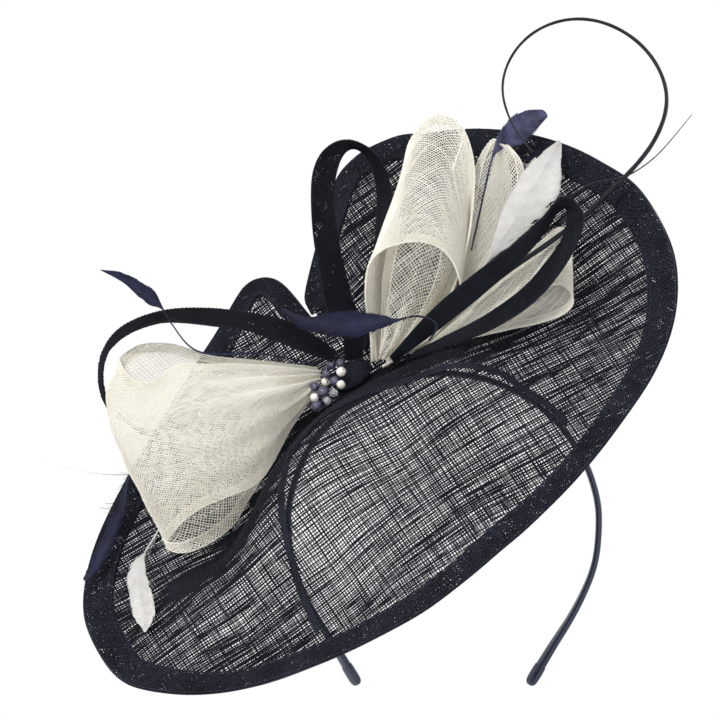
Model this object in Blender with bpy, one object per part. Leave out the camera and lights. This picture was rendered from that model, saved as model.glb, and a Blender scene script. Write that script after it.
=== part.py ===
"""Fascinator headpiece: a sinamay saucer with a raised crown on a satin headband, trimmed with
looped sinamay, feathers, quills and beads. Metres, +Z up; the origin is the inner top of the
headband, its legs point down -Z and the wearer faces -Y."""

import bpy
import bmesh
import numpy as np
from mathutils.geometry import delaunay_2d_cdt

MM = 0.001
CLEAR = 0.3  # gap left between touching pieces, mm

# Headband: half of its bow seen from the front, from the crown of the head down to one tip (mm)
BAND_HALF = [(2, 1.6), (20, -1.3), (40, -10.8), (55, -24.5), (64, -38), (69.7, -55), (70.6, -68),
             (69, -84), (64.3, -97), (57.5, -110), (49.8, -122), (40.7, -137)]
BAND_WIDE, BAND_THICK = 5.2, 2.0
SLEEVE_WIDE, SLEEVE_THICK, SLEEVE_WALL = 6.6, 3.2, 0.3
PAD_FROM, PAD_TO, PAD_HIGH = -46, -26, 9.0  # felt pad: its span along x and its greatest height

# Saucer: its own frame (long axis, back, up) leans forward and to one side over the head (mm)
SAUCER_CENTRE = np.array([-29.3, -35.2, -24.1])
LONG_AXIS = np.array([0.836, 0.0, 0.549])
BACK_AXIS = np.array([-0.353, 0.766, 0.537])
PLY = 0.9  # the stiffened plies of sinamay together
HEM_DEEP, HEM_PLY, HEM_LIP = 13.0, 0.5, 0.9
HEM_SLACK = 1.4  # from the hem's fold to the saucer's own cut edge
SLIT_END = (3.2, 76.0)  # inner end of the slit at the back: (long, back)
MESH_PITCH, EDGE_STATIONS = 13.0, 88
CORD_FOOT, CORD_TOP, CORD_HIGH = 1.6, 0.8, 1.0  # crown cord: half widths and height
BASE_AT, BASE_RADIUS, BASE_THICK = (3.3, 46.0), 10.0, 1.2  # round under the trims: (long, back)
KNOT = np.array([-45.0, -5.0, 5.0])  # where every trim is gathered, in world mm

# Saucer edge, from the slit round by the right lobe, the front and the left lobe: (long, back, up)
EDGE = [(4, 94, 1), (6.5, 105, 4), (22, 122, 9), (36.5, 137, 12), (44.5, 146, 14), (51, 150.5, 15),
        (60, 152.5, 16), (68, 152.5, 16), (82, 148, 16), (93.5, 138, 16), (113.5, 122, 15),
        (129.5, 103.5, 13), (142.5, 81.5, 11), (151, 60, 9), (157.5, 35.5, 6), (156.5, 3.5, 3),
        (150, -22.5, 1), (136.5, -47, -1), (116, -67, -3), (88.5, -82.5, -5), (59, -95, -6.5),
        (27.5, -103.5, -7.5), (0, -108, -8), (-27.5, -110.5, -8), (-54.5, -107, -8),
        (-82, -101, -7), (-109, -92.5, -5), (-132, -78.5, -3), (-150, -59.5, -1), (-157.5, -45, 1),
        (-159, -25, 3), (-156.5, -1, 4), (-147.5, 20, 4), (-132, 40.5, 4.5), (-109, 60.5, 6),
        (-77.5, 82.5, 8), (-47, 102.5, 10), (-22.5, 118.5, 12), (-13.5, 122.5, 12.5),
        (-6.5, 120.5, 12), (-2.5, 115.5, 11), (-0.5, 107.5, 9.5), (0.5, 98.5, 6.5), (1.5, 89, 2.5)]
BROW = [(-135, -37.5, 4), (-105, -34, 8.5), (-71, -21, 15.5), (-52.5, -4.5, 17), (-34, 5, 18),
        (-15, 9.5, 18.5), (7.5, 8, 18.5), (22.5, 4.5, 18), (46.5, 0, 15.5), (59.5, -5, 13),
        (91, -11, 7), (118, -14, 3)]
HOLLOW = [(3.3, 38, -4), (3, 46, -5), (3, 60, -4), (-18, 38, -4.5), (24, 34, -3), (-22.5, 56, -3),
          (-52, 20, -6), (-60, 38, -4), (-70, 2, -5), (-88, -12, -2), (-100, 15, -1),
          (-125, -10, 0.5), (2, -70, 7.5), (3, -35, 14), (-51, -62, 3), (46, -57, 8), (45, 28, -1),
          (66, 22, 1), (90, 14, 2), (59.5, 48, -1), (96, 38, 3), (124, 10, 4), (136, 30, 7),
          (73, 100, 8), (37, 95, 6), (-24, 95, 5), (-65, 70, 4), (-100, -60, -1), (60, -80, -1),
          (-30, -92, -1), (20, -94, -1)]
CROWN_LINE = [(-71.6, -88), (-70, -74), (-67, -60), (-60, -41), (-50, -24), (-36, -8),
              (-17, 1), (1, 0), (18, -6), (41, -12), (50, -18), (59, -29), (63, -40), (67, -50),
              (70, -60), (71, -70)]

LOOP_PLY, STRIP_PLY, PLUME_PLY = 0.8, 0.9, 0.5
CURLED_RADIUS, FINE_RADIUS, CREAM_RADIUS, WISP_RADIUS = 1.3, 0.7, 0.6, 0.5

# Trims: guide lines of each sheet, feather and quill, in mm from the knot (right, back, up)
CREAM_LEFT = {
    "upper": [(-11, -4, -2.5), (-37.5, -11, 0), (-63.5, -15, 0.5), (-76.5, -15, 0),
             (-87, -15, -7.5), (-96.5, -11, -6), (-101.5, -3, 1), (-101.5, 7, 4.5),
             (-93.5, 11, 9.5), (-85, 13, 10.5), (-76, 13, 9.5), (-60, 11, 4.5), (-37.5, 7, 2),
             (-12, 2, -1.5)],
    "middle": [(-12, -7, -7.5), (-35, -29, -15.5), (-59, -39, -24.5), (-84, -41, -31.5),
              (-100, -33, -32), (-106, -17, -26.5), (-105, -3, -19), (-93, 1, -21),
              (-70, 0, -24.5), (-43, -1, -20), (-14, 1, -5.5)],
    "lower": [(-12.5, -9, -11), (-24, -10, -27.5), (-37.5, -28, -51), (-51.5, -35, -58.5),
             (-64.5, -38, -64), (-73.5, -39, -71), (-80, -30, -79.5), (-78.5, -31, -83.5),
             (-70, -32.5, -84), (-59, -29, -79), (-49.5, -22.5, -71), (-43.5, -16.5, -61),
             (-33, -10.5, -43.5), (-14.5, -2, -10)],
}
CREAM_ROLL = {
    "mouth": [(12.5, -7, 2), (12, -7, 13.5), (10, -13, 25.5), (9.5, -19, 37), (12, -27, 47.5),
             (20.5, -33, 54), (35, -35, 56), (46.5, -31, 50.5), (52.5, -25, 37.5),
             (50.5, -20, 27.5), (42, -16, 15), (29.5, -14, 6.5), (17.5, -11, -1)],
    "middle": [(14.5, -4, 2.5), (14, 2, 21), (15, 5, 47.5), (19, 7, 67.5), (27, 1, 82),
              (38, -3, 85.5), (49, 3, 80), (56, 7, 64.5), (53.5, 1, 43.5), (45, -9, 24.5),
              (30.5, -10.5, 10), (19.5, -8.5, 2)],
    "back": [(16, -1, 3.5), (18, 3, 25.5), (22.5, 17.5, 57.5), (27, 33, 84.5), (29.5, 41, 102.5),
            (40, 31, 114), (51, 33, 112.5), (57, 25.5, 102), (59, 16.5, 87), (56, -2.5, 57.5),
            (46, -15.5, 28), (31.5, -9.5, 12), (21, -7, 4)],
}
CREAM_BEHIND = {
    "left": [(22.5, 1, 7.5), (43.5, 3.5, 37), (55, 15, 66.5), (60, 27.5, 91), (67, 30.5, 103),
            (69.5, 36, 99), (64.5, 27.5, 80), (55, 18, 57.5), (43.5, 6, 30), (26, 3, 8)],
    "right": [(25, -1.5, 7), (53.5, -5, 32), (73, -1, 59), (81.5, 7.5, 80), (81, 14, 92),
             (75, 25, 100), (73.5, 31.5, 97.5), (76, 20, 80), (69, 10, 59), (52.5, 1, 32),
             (29, 0, 7.5)],
}
CREAM_RIGHT = {
    "lower": [(29, -11, 5.5), (43.5, -22, 8.5), (60.5, -33, 16), (78.5, -37, 27.5), (94, -41, 36.5),
             (100.5, -44, 34.5), (103, -47.5, 28.5), (99, -50, 23.5), (89, -49, 19.5),
             (75, -43, 16.5), (59, -34, 13), (43.5, -17.5, 10.5), (31.5, -6, 7.5)],
    "upper": [(30.5, -9, 7.5), (45, -11, 20), (64.5, -15, 35.5), (84.5, -19, 52.5),
             (96, -18.5, 62.5), (101.5, -21.5, 60), (103, -25, 52), (99, -26, 44.5),
             (85, -21.5, 37.5), (64.5, -15.5, 25.5), (46, -13, 13.5), (33.5, -5.5, 9)],
}
NAVY_RIGHT = {
    "inner": [(22.5, -13, 2), (43.5, -29.5, 17.5), (63.5, -33.5, 33.5), (81.5, -34, 50),
             (91.5, -31, 62.5), (96, -26, 72.5), (100.5, -33.5, 69.5), (99, -40, 59),
             (91.5, -43, 47.5), (80, -44.5, 34.5), (62.5, -42, 22), (46, -32, 13.5),
             (31.5, -21, 6)],
    "outer": [(20.5, -15, 4), (39, -30, 24.5), (57, -32.5, 40), (76, -36, 54.5), (89, -36, 66.5),
             (99, -35.5, 76.5), (107, -42.5, 69), (105.5, -51, 57.5), (97, -55, 42.5),
             (84.5, -59, 28.5), (66, -60.5, 16.5), (47, -38, 9.5), (30, -25, 3.5)],
}
NAVY_TALL = {
    "front": [(0.5, -8, 2.5), (-1, -9, 15.5), (-7.5, -7, 25), (-11, -3, 41.5), (-14, 3, 59.5),
             (-15, 9, 77.5), (-14, 14, 89), (-10, 19, 97.5), (-3, 25, 102.5), (5, 33, 102.5),
             (13.5, 41, 97.5), (19.5, 45, 87.5), (21.5, 40, 75.5), (20, 25.5, 52.5),
             (15, 14, 25.5), (10, 7, 6.5)],
    "back": [(8, -6, 3.5), (8, -3, 16.5), (3.5, 1, 30), (-1, 7, 47.5), (-4, 13, 64), (-5, 19, 80),
            (-3, 25, 91.5), (0.5, 32, 98), (5, 40, 99.5), (10, 49, 96), (13.5, 53, 87.5),
            (15, 49, 75.5), (13.5, 34.5, 52.5), (10, 22, 25.5), (7, 11, 8.5)],
}
NAVY_LEFT = {
    "upper": [(-4, -7, 6.5), (-15, -7, 14.5), (-27, -5, 20.5), (-44, -1, 24), (-61, 3, 26),
             (-79.5, 5, 25.5), (-94, 7, 21.5), (-104, 8, 15.5), (-110, 10, 6.5), (-112, 13, -4),
             (-110.5, 15, -14), (-105.5, 16, -22), (-97.5, 17, -26.5), (-88.5, 17, -29.5),
             (-73, 17, -28.5), (-52, 15, -25.5), (-34, 12, -20), (-13, 7, -5.5)],
    "lower": [(-5.5, -11, 2), (-21, -15, 7.5), (-42, -13, 15.5), (-57.5, -9, 18), (-78.5, -7, 20),
             (-90, -3, 18), (-100, 1, 13.5), (-107.5, 5, 6.5), (-110, 9, -2.5), (-109.5, 12, -11),
             (-106, 13, -18), (-101.5, 13.5, -23), (-95.5, 13.5, -28), (-88.5, 13.5, -32),
             (-73, 13.5, -32), (-51, 12.5, -28.5), (-33, 10, -22.5), (-13, 5, -7.5)],
}
FEATHER_WHITE_TOP = {
    "left": [(50.5, -18, 25), (54.5, -16.5, 32), (58, -15, 38), (64, -12.5, 47.5),
            (67.5, -11.5, 57.5), (71.5, -5.5, 71.5), (78, -1, 83.5), (84.5, 3, 93),
            (97, 21, 102.5)],
    "shaft": [(51, -17.5, 24.5), (55, -16, 31.5), (58.5, -14.5, 37.5), (64.5, -13, 47.5),
             (70.5, -13, 56.5), (78.5, -10, 68.5), (85.5, -6.5, 80.5), (91.5, -1.5, 91),
             (98, 21, 103)],
    "right": [(51.5, -18, 24), (55, -15, 31), (59, -15, 37.5), (65, -12.5, 47), (74, -14, 53.5),
             (83.5, -15, 62), (92.5, -16.5, 70.5), (98, -14, 80), (99, 21, 100.5)],
}
FEATHER_NAVY_TOP = {
    "left": [(57, -8.5, 52.5), (62.5, 4.5, 77.5), (67, 14.5, 95.5), (69, 29, 102.5),
            (71.5, 29, 108), (74.5, 28, 112.5), (78.5, 27, 115.5), (84.5, 25, 117), (90, 23, 117)],
    "shaft": [(57.5, -8, 52.5), (63, 5, 77.5), (67.5, 15, 95.5), (71, 29, 102), (75, 28, 106),
             (78.5, 27, 109), (82.5, 26, 112.5), (87, 25, 114.5), (92, 23, 115.5)],
    "right": [(58, -7, 52.5), (63.5, 6, 77.5), (68, 14.5, 95), (74.5, 26, 99.5), (79.5, 24, 100.5),
             (83.5, 23, 102.5), (87, 23, 106.5), (90, 23, 110.5), (92.5, 23, 113.5)],
}
FEATHER_NAVY_LEFT = {
    "left": [(-12, -9, 1), (-37.5, -21, 6), (-65.5, -21, 7), (-79, -15, 19.5), (-83, -14, 25),
            (-87.5, -13, 27), (-93, -12, 31), (-100, -11, 37.5), (-110.5, -10, 43.5)],
    "shaft": [(-12, -9, 0.5), (-37.5, -21, 5.5), (-65.5, -21, 6.5), (-78.5, -15, 19.5),
             (-82.5, -14, 26), (-87.5, -13, 29.5), (-92.5, -12, 34), (-100, -11, 39),
             (-110.5, -10, 43.5)],
    "right": [(-12, -9, 0.5), (-37.5, -21, 5), (-65.5, -21, 6), (-78.5, -15, 19), (-82.5, -14, 27),
             (-86, -13, 34), (-91.5, -12, 38), (-101, -11, 42.5), (-110, -10, 43.5)],
}
FEATHER_NAVY_CENTRE = {
    "left": [(37.5, -41, 11.5), (41, -39, 16.5), (40, -37, 19.5), (36.5, -35, 21.5),
            (31.5, -33, 22), (26.5, -31, 21), (16, -28, 16.5), (5.5, -26, 12.5), (-4, -25, 13),
            (-15, -24, 15), (-22, -23, 18), (-28.5, -22, 25.5)],
    "shaft": [(38, -41, 11.5), (41.5, -39, 16.5), (40.5, -37, 20), (36.5, -35, 22),
             (31.5, -33, 22.5), (26.5, -31, 21.5), (16, -29, 19.5), (5.5, -27, 18.5),
             (-4, -26, 18.5), (-15, -25, 20), (-22, -24, 22.5), (-28.5, -22, 26)],
    "right": [(38.5, -41, 11.5), (42, -39, 17), (40.5, -37, 20.5), (36.5, -35, 22.5),
             (31.5, -33, 22.5), (26.5, -31, 22), (17, -28, 23), (7, -26, 25), (-3, -25, 25),
             (-14, -24, 22.5), (-21.5, -23, 23.5), (-28.5, -22, 26.5)],
}
FEATHER_WHITE_LEFT = {
    "left": [(-75, -5, -61), (-82, -10.5, -70), (-86.5, -16, -77.5), (-90, -23, -84),
            (-95, -27.5, -88), (-98.5, -33.5, -94.5), (-97, -41, -102.5), (-95, -54, -112),
            (-90, -65.5, -118)],
    "shaft": [(-74.5, -4.5, -61), (-82, -11.5, -70.5), (-86, -17.5, -77.5), (-90, -23, -84),
             (-92, -30.5, -90.5), (-92.5, -38, -97.5), (-91.5, -47, -105), (-90, -57.5, -112),
             (-89.5, -67, -119)],
    "right": [(-74.5, -4.5, -61), (-81.5, -11.5, -71), (-85.5, -17.5, -78), (-89.5, -24, -84.5),
             (-89.5, -34.5, -92.5), (-87, -43.5, -100), (-85, -55.5, -107.5), (-85, -62.5, -112.5),
             (-88.5, -67.5, -118.5)],
}
FEATHER_NAVY_RIM = {
    "left": [(-88.5, 11, -33.5), (-98.5, 1, -51), (-101.5, -3, -58.5), (-106, -9, -67.5),
            (-110, -15, -77.5), (-114, -21, -85), (-116.5, -25, -92), (-118, -27, -96)],
    "shaft": [(-88, 11, -33.5), (-98, -1, -51.5), (-100, -5.5, -61), (-104, -11, -70),
             (-108, -18.5, -80), (-112, -23, -88), (-115, -27, -93.5), (-117.5, -28, -96.5)],
    "right": [(-87.5, 11, -34), (-98, -3, -52), (-98.5, -6.5, -62.5), (-101, -13.5, -72),
             (-105, -19.5, -82.5), (-110, -25.5, -91), (-114, -29, -95.5), (-117, -29, -97)],
}
QUILL_CURLED = {
    "mid": [(56, -22.5, 28.5), (64.5, -23.5, 35.5), (75, -25.5, 44), (91, -29, 54.5),
           (107.5, -23.5, 67), (116, -18, 75), (126, -10.5, 84.5), (134.5, -5, 93.5),
           (141, 2, 102.5), (146.5, 13, 115.5), (147, 21, 126.5), (143, 28, 137.5),
           (136.5, 33, 146), (127, 37, 152.5), (117, 39, 157), (107, 39, 157.5), (97.5, 38, 157),
           (88.5, 35, 152.5), (80, 32, 147), (74.5, 28, 137.5), (72.5, 24, 129), (73, 20, 122),
           (75, 15, 112.5), (79, 11, 105), (85.5, 5, 97)],
}
QUILL_NAVY_FINE = {
    "mid": [(62.5, -20.5, 41), (75, -21.5, 52), (89, -23.5, 62.5), (101.5, -17.5, 75.5),
           (111.5, -15.5, 82.5), (123.5, -19.5, 84.5), (130, -19, 87), (140, -13, 94),
           (148.5, -8, 103), (157.5, -4, 114)],
}
QUILL_CREAM = {
    "mid": [(-20, 6.5, -15.5), (-37.5, 5, -29), (-52, 4, -36), (-65.5, 4.5, -41.5), (-75, 5, -44.5),
           (-84, 5.5, -47.5), (-93, 7, -48.5), (-99.5, 5, -49.5), (-111.5, -2, -49),
           (-120, 0, -47.5), (-130.5, 2, -44.5), (-141, 3, -38.5), (-151, 5, -30.5)],
}
WISP_CREAM = {
    "mid": [(49, -1, 89), (53.5, 19, 102.5), (55, 27, 112), (53.5, 31, 116), (51, 33, 118.5),
           (48, 35, 122.5), (43, 36, 129.5)],
}
BEADS = [  # x, y, z from the knot and radius; navy glass, pearl, clear crystal
    ("bead_navy_1", -6, -9, 0.6, 2.2), ("bead_navy_2", -2, -12.2, 1.2, 1.9),
    ("bead_navy_3", -8.2, -13.2, -3.6, 1.9), ("bead_navy_4", -4.4, -14.6, -6.8, 2.1),
    ("bead_navy_5", -13.4, -12.5, -9.4, 2.1), ("bead_navy_6", -9.6, -16.6, -11.8, 2.6),
    ("bead_navy_7", -12.6, -20, -18.2, 2.4), ("bead_pearl_1", -1.6, -14.8, -2.6, 2.1),
    ("bead_pearl_2", -8.8, -10.6, -7.2, 1.8), ("bead_pearl_3", -1.6, -17.6, -8.4, 1.9),
    ("bead_pearl_4", -13.6, -16.2, -14.2, 1.9), ("crystal_1", -4.8, -19.4, -12.2, 1.7),
    ("crystal_2", -7.8, -21.4, -15.6, 1.7)]

UP_AXIS = np.cross(LONG_AXIS, BACK_AXIS)
UP_AXIS /= np.linalg.norm(UP_AXIS)


def clear_scene():
    for old in list(bpy.data.objects):
        bpy.data.objects.remove(old)


def material(name, colour, roughness, metallic=0.0):
    made = bpy.data.materials.get(name) or bpy.data.materials.new(name)
    made.use_nodes = True
    shader = made.node_tree.nodes["Principled BSDF"]
    shader.inputs["Base Color"].default_value = (*colour, 1.0)
    shader.inputs["Roughness"].default_value = roughness
    shader.inputs["Metallic"].default_value = metallic
    return made


def add_object(name, points_mm, faces, stuff):
    mesh = bpy.data.meshes.new(name)
    mesh.from_pydata([tuple(p) for p in np.asarray(points_mm, float) * MM], [], faces)
    body = bmesh.new()
    body.from_mesh(mesh)
    bmesh.ops.triangulate(body, faces=body.faces[:])
    bmesh.ops.recalc_face_normals(body, faces=body.faces[:])
    body.to_mesh(mesh)
    body.free()
    made = bpy.data.objects.new(name, mesh)
    bpy.context.scene.collection.objects.link(made)
    mesh.materials.append(stuff)
    return made


def spline(points, count, closed=False):
    """Evenly spaced points along a smooth line through the given ones."""
    p = np.asarray(points, float)
    ring = np.vstack([p[-1:], p, p[:2]]) if closed else np.vstack(
        [2 * p[0] - p[1], p, 2 * p[-1] - p[-2]])
    dense = []
    for a, b, c, d in zip(ring, ring[1:], ring[2:], ring[3:]):
        t = np.linspace(0, 1, 24, endpoint=False)[:, None]
        dense.append(0.5 * (2 * b + (c - a) * t + (2 * a - 5 * b + 4 * c - d) * t**2
                            + (3 * b - a - 3 * c + d) * t**3))
    dense = np.vstack(dense + [ring[-2:-1]])
    run = np.concatenate([[0], np.cumsum(np.linalg.norm(np.diff(dense, axis=0), axis=1))])
    wanted = np.linspace(0, run[-1], count + 1 if closed else count)[:count]
    return np.stack([np.interp(wanted, run, dense[:, k]) for k in range(dense.shape[1])], 1)


def unit(v):
    return v / np.maximum(np.linalg.norm(v, axis=-1, keepdims=True), 1e-9)


def grid_normals(grid):
    return unit(np.cross(np.gradient(grid, axis=0), np.gradient(grid, axis=1)))


def sheet(name, guides, along, across, thick, stuff):
    """A closed thin solid through guide lines that run the same way."""
    lines = np.stack([spline(line, along) for line in guides], 1)
    grid = np.stack([spline(row, across) for row in lines])
    lift = grid_normals(grid) * thick / 2
    rows, cols = grid.shape[:2]
    points = np.vstack([(grid + lift).reshape(-1, 3), (grid - lift).reshape(-1, 3)])
    under = rows * cols
    faces = []
    for i in range(rows - 1):
        for j in range(cols - 1):
            a, b, c, d = i * cols + j, (i + 1) * cols + j, (i + 1) * cols + j + 1, i * cols + j + 1
            faces += [(a, b, c, d), (a + under, d + under, c + under, b + under)]
    rim = ([(i, 0) for i in range(rows)] + [(rows - 1, j) for j in range(1, cols)]
           + [(i, cols - 1) for i in range(rows - 2, -1, -1)]
           + [(0, j) for j in range(cols - 2, 0, -1)])
    rim = [i * cols + j for i, j in rim]
    for a, b in zip(rim, rim[1:] + rim[:1]):
        faces.append((a, a + under, b + under, b))
    return add_object(name, points, faces, stuff)


def loft(name, rings, stuff, closed=False):
    """A solid through equal rings of points; open ends are capped."""
    rings = np.asarray(rings, float)
    count, size = rings.shape[:2]
    faces = []
    for i in range(count if closed else count - 1):
        k = (i + 1) % count
        for j in range(size):
            m = (j + 1) % size
            faces.append((i * size + j, i * size + m, k * size + m, k * size + j))
    if not closed:
        faces += [tuple(range(size)), tuple((count - 1) * size + j for j in range(size))]
    return add_object(name, rings.reshape(-1, 3), faces, stuff)


def rod(name, line, radii, sides, stuff):
    """A round stem along a line, with its own radius at each point."""
    ways = unit(np.gradient(line, axis=0))
    side = unit(np.cross(ways, np.array([0.23, 0.91, 0.31])))
    other = np.cross(ways, side)
    turn = np.linspace(0, 2 * np.pi, sides, endpoint=False)
    rings = [p + r * (np.cos(turn)[:, None] * a + np.sin(turn)[:, None] * b)
             for p, r, a, b in zip(line, radii, side, other)]
    return loft(name, rings, stuff)


def ball(name, centre, radius, stuff):
    body = bmesh.new()
    bmesh.ops.create_icosphere(body, subdivisions=2, radius=radius)
    points = np.array([v.co[:] for v in body.verts]) + centre
    faces = [tuple(v.index for v in f.verts) for f in body.faces]
    body.free()
    return add_object(name, points, faces, stuff)


# ---- saucer shape -------------------------------------------------------------------------


def thin_plate():
    """Weights of the smooth surface that passes near the edge, brow and hollow stations."""
    known = np.array(EDGE + BROW + HOLLOW, float)
    n, plan = len(known), known[:, :2]
    table = np.zeros((n + 3, n + 3))
    table[:n, :n] = bend(plan, plan) + 12.0 * np.eye(n)
    table[:n, n], table[n, :n] = 1, 1
    table[:n, n + 1:], table[n + 1:, :n] = plan, plan.T
    return plan, np.linalg.solve(table, np.concatenate([known[:, 2], np.zeros(3)]))


def bend(a, b):
    gap = np.maximum(np.linalg.norm(a[:, None] - b[None], axis=2), 1e-9)
    return gap**2 * np.log(gap)


PLAN, WEIGHTS = thin_plate()


def rise(plan):
    plan = np.atleast_2d(np.asarray(plan, float))
    return bend(plan, PLAN) @ WEIGHTS[:-3] + WEIGHTS[-3] + plan @ WEIGHTS[-2:]


def on_saucer(plan, lift=0.0):
    """World points over the saucer's middle surface, lifted along its axis."""
    plan = np.atleast_2d(np.asarray(plan, float))
    up = (rise(plan) + lift)[:, None]
    return SAUCER_CENTRE + plan[:, :1] * LONG_AXIS + plan[:, 1:] * BACK_AXIS + up * UP_AXIS


def saucer_normals(plan):
    step = 0.5
    a = on_saucer(plan + [step, 0]) - on_saucer(plan - [step, 0])
    b = on_saucer(plan + [0, step]) - on_saucer(plan - [0, step])
    return unit(np.cross(a, b))


def edge_lines(count):
    """Plan lines of the saucer edge and, for each station, the way into the cloth."""
    line = spline([p[:2] for p in EDGE], count)
    ways = unit(np.gradient(line, axis=0))
    into = np.stack([ways[:, 1], -ways[:, 0]], 1)
    for _ in range(3):
        into[1:-1] = unit(into[:-2] + 2 * into[1:-1] + into[2:])
    return line, into


def saucer(count, pitch, stuff):
    """The stiffened sinamay disc: a net of triangles in plan, raised to the saucer's shape."""
    line, into = edge_lines(count)
    rim, hem = line + into * HEM_SLACK, line + into * HEM_DEEP
    hold = np.array([SLIT_END])
    border = np.vstack([rim, hold])
    inner = []
    for row, back in enumerate(np.arange(-112, 152, pitch * 0.866)):
        for long in np.arange(-160, 160, pitch):
            spot = np.array([long + (row % 2) * pitch / 2, back])
            if inside(spot, np.vstack([hem, hold])) and gap_to(spot, hem) > pitch * 0.55:
                inner.append(spot)
    points = np.vstack([border, hem, np.array(inner)])
    n, m = len(border), len(hem)
    edges = [(k, (k + 1) % n) for k in range(n)] + [(n + k, n + k + 1) for k in range(m - 1)]
    got = delaunay_2d_cdt([tuple(p) for p in points], edges, [], 0, 0.01)
    plan = np.array([tuple(p) for p in got[0]])
    faces = [f for f in got[2] if inside(plan[list(f)].mean(axis=0), border)]
    middle, up = on_saucer(plan), saucer_normals(plan)
    solid = np.vstack([middle + up * PLY / 2, middle - up * PLY / 2])
    k = len(plan)
    used = {}
    for f in faces:
        for a, b in zip(f, f[1:] + f[:1]):
            used[(a, b)] = used.get((a, b), 0) + 1
    rim_edges = [e for e in used if (e[1], e[0]) not in used]
    every = ([tuple(f) for f in faces] + [tuple(v + k for v in reversed(f)) for f in faces]
             + [(b, a, a + k, b + k) for a, b in rim_edges])
    return add_object("saucer_sinamay", solid, every, stuff)


def inside(spot, loop):
    a, b = loop, np.roll(loop, -1, axis=0)
    crosses = (a[:, 1] > spot[1]) != (b[:, 1] > spot[1])
    rise_by = np.where(np.abs(b[:, 1] - a[:, 1]) < 1e-9, 1e-9, b[:, 1] - a[:, 1])
    at = a[:, 0] + (spot[1] - a[:, 1]) * (b[:, 0] - a[:, 0]) / rise_by
    return bool((crosses & (spot[0] < at)).sum() % 2)


def gap_to(spot, line):
    return np.linalg.norm(line - spot, axis=1).min()


def hem_binding(count, stuff):
    """The bias strip folded over the saucer's edge: a channel with its mouth inwards."""
    line, into = edge_lines(count)
    t0 = PLY / 2 + CLEAR
    t1 = t0 + HEM_PLY
    bulge = t1 + 0.2
    section = [(HEM_DEEP, t1), (HEM_SLACK, bulge), (-0.2, t1), (-HEM_LIP, 0), (-0.2, -t1),
               (HEM_SLACK, -bulge), (HEM_DEEP, -t1), (HEM_DEEP, -t0), (HEM_SLACK, -t0), (0.3, 0),
               (HEM_SLACK, t0), (HEM_DEEP, t0)]
    rings = np.zeros((count, len(section), 3))
    for j, (deep, lift) in enumerate(section):
        plan = line + into * deep
        held = line + into * np.clip(deep, HEM_SLACK, HEM_DEEP)
        rings[:, j] = on_saucer(held) + (plan - held)[:, :1] * LONG_AXIS \
            + (plan - held)[:, 1:] * BACK_AXIS + saucer_normals(held) * lift
    return loft("brim_binding", rings, stuff)


def crown_tape(stuff):
    """The narrow raised cord that marks the crown block's edge on the saucer."""
    plan = spline(CROWN_LINE, 40)
    way = unit(np.gradient(plan, axis=0))
    side = np.stack([-way[:, 1], way[:, 0]], 1)
    low, high = PLY / 2 + CLEAR + 0.15, PLY / 2 + CLEAR + CORD_HIGH
    section = [(-CORD_FOOT, low), (CORD_FOOT, low), (CORD_TOP, high), (-CORD_TOP, high)]
    rings = np.zeros((len(plan), len(section), 3))
    for j, (off, lift) in enumerate(section):
        held = plan + side * off
        rings[:, j] = on_saucer(held) + saucer_normals(held) * lift
    return loft("crown_cord", rings, stuff)


def trim_base(stuff):
    """The small sinamay round on which every trim is stitched down."""
    steps = np.linspace(0, 2 * np.pi, 16, endpoint=False)
    circle = np.stack([np.cos(steps), np.sin(steps)], 1)
    low = PLY / 2 + CLEAR + 0.4
    high, half = low + BASE_THICK, BASE_RADIUS / 2
    layers = [(0.5, low), (half, low), (BASE_RADIUS, low), (BASE_RADIUS, high), (half, high),
              (0.5, high)]
    rings = []
    for reach, lift in layers:
        plan = np.array(BASE_AT) + circle * reach
        rings.append(on_saucer(plan) + saucer_normals(plan) * lift)
    return loft("trim_base", rings, stuff)


# ---- headband -----------------------------------------------------------------------------


def band_line(count):
    """The bow's centre line from the left tip over the head to the right tip."""
    half = np.array(BAND_HALF, float)
    full = np.vstack([half[::-1] * [-1, 1], half])
    line = spline(full, count)
    line = (line + line[::-1] * [-1, 1]) / 2
    line[:, 1] += SLEEVE_THICK / 2 - line[count // 2, 1]  # sets the inner top facet at z = 0
    return line


def band_rings(line, wide, thick, corner=0.32):
    way = unit(np.gradient(line, axis=0))
    out = np.stack([-way[:, 1], way[:, 0]], 1)
    c = corner * thick
    shape = [(-wide / 2 + c, thick / 2), (wide / 2 - c, thick / 2), (wide / 2, 0.0),
             (wide / 2 - c, -thick / 2), (-wide / 2 + c, -thick / 2), (-wide / 2, 0.0)]
    return np.array([[(p[0] + o[0] * t, w, p[1] + o[1] * t) for w, t in shape]
                     for p, o in zip(line, out)])


def headband(core_stuff, satin):
    line = band_line(36)
    loft("headband_core", band_rings(line[1:-1], BAND_WIDE, BAND_THICK), core_stuff)
    wall = SLEEVE_WALL
    outer = band_rings(line, SLEEVE_WIDE, SLEEVE_THICK)
    inner = band_rings(line, SLEEVE_WIDE - 2 * wall, SLEEVE_THICK - 2 * wall)
    tube = np.vstack([outer, inner[::-1]])
    loft("headband_satin", tube, satin, closed=True)
    for side, tip in (("left", 0), ("right", -1)):
        end = line[tip]
        way = unit(line[tip] - line[1 if tip == 0 else -2])
        stops = [(CLEAR, 1.0), (1.6, 1.0), (3.0, 0.8), (3.8, 0.45)]
        rings = []
        for reach, size in stops:
            ring = band_rings(line, SLEEVE_WIDE * size, SLEEVE_THICK * size)[tip]
            rings.append(ring + np.array([way[0], 0, way[1]]) * reach)
        loft("band_tip_" + side, rings, satin)


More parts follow.
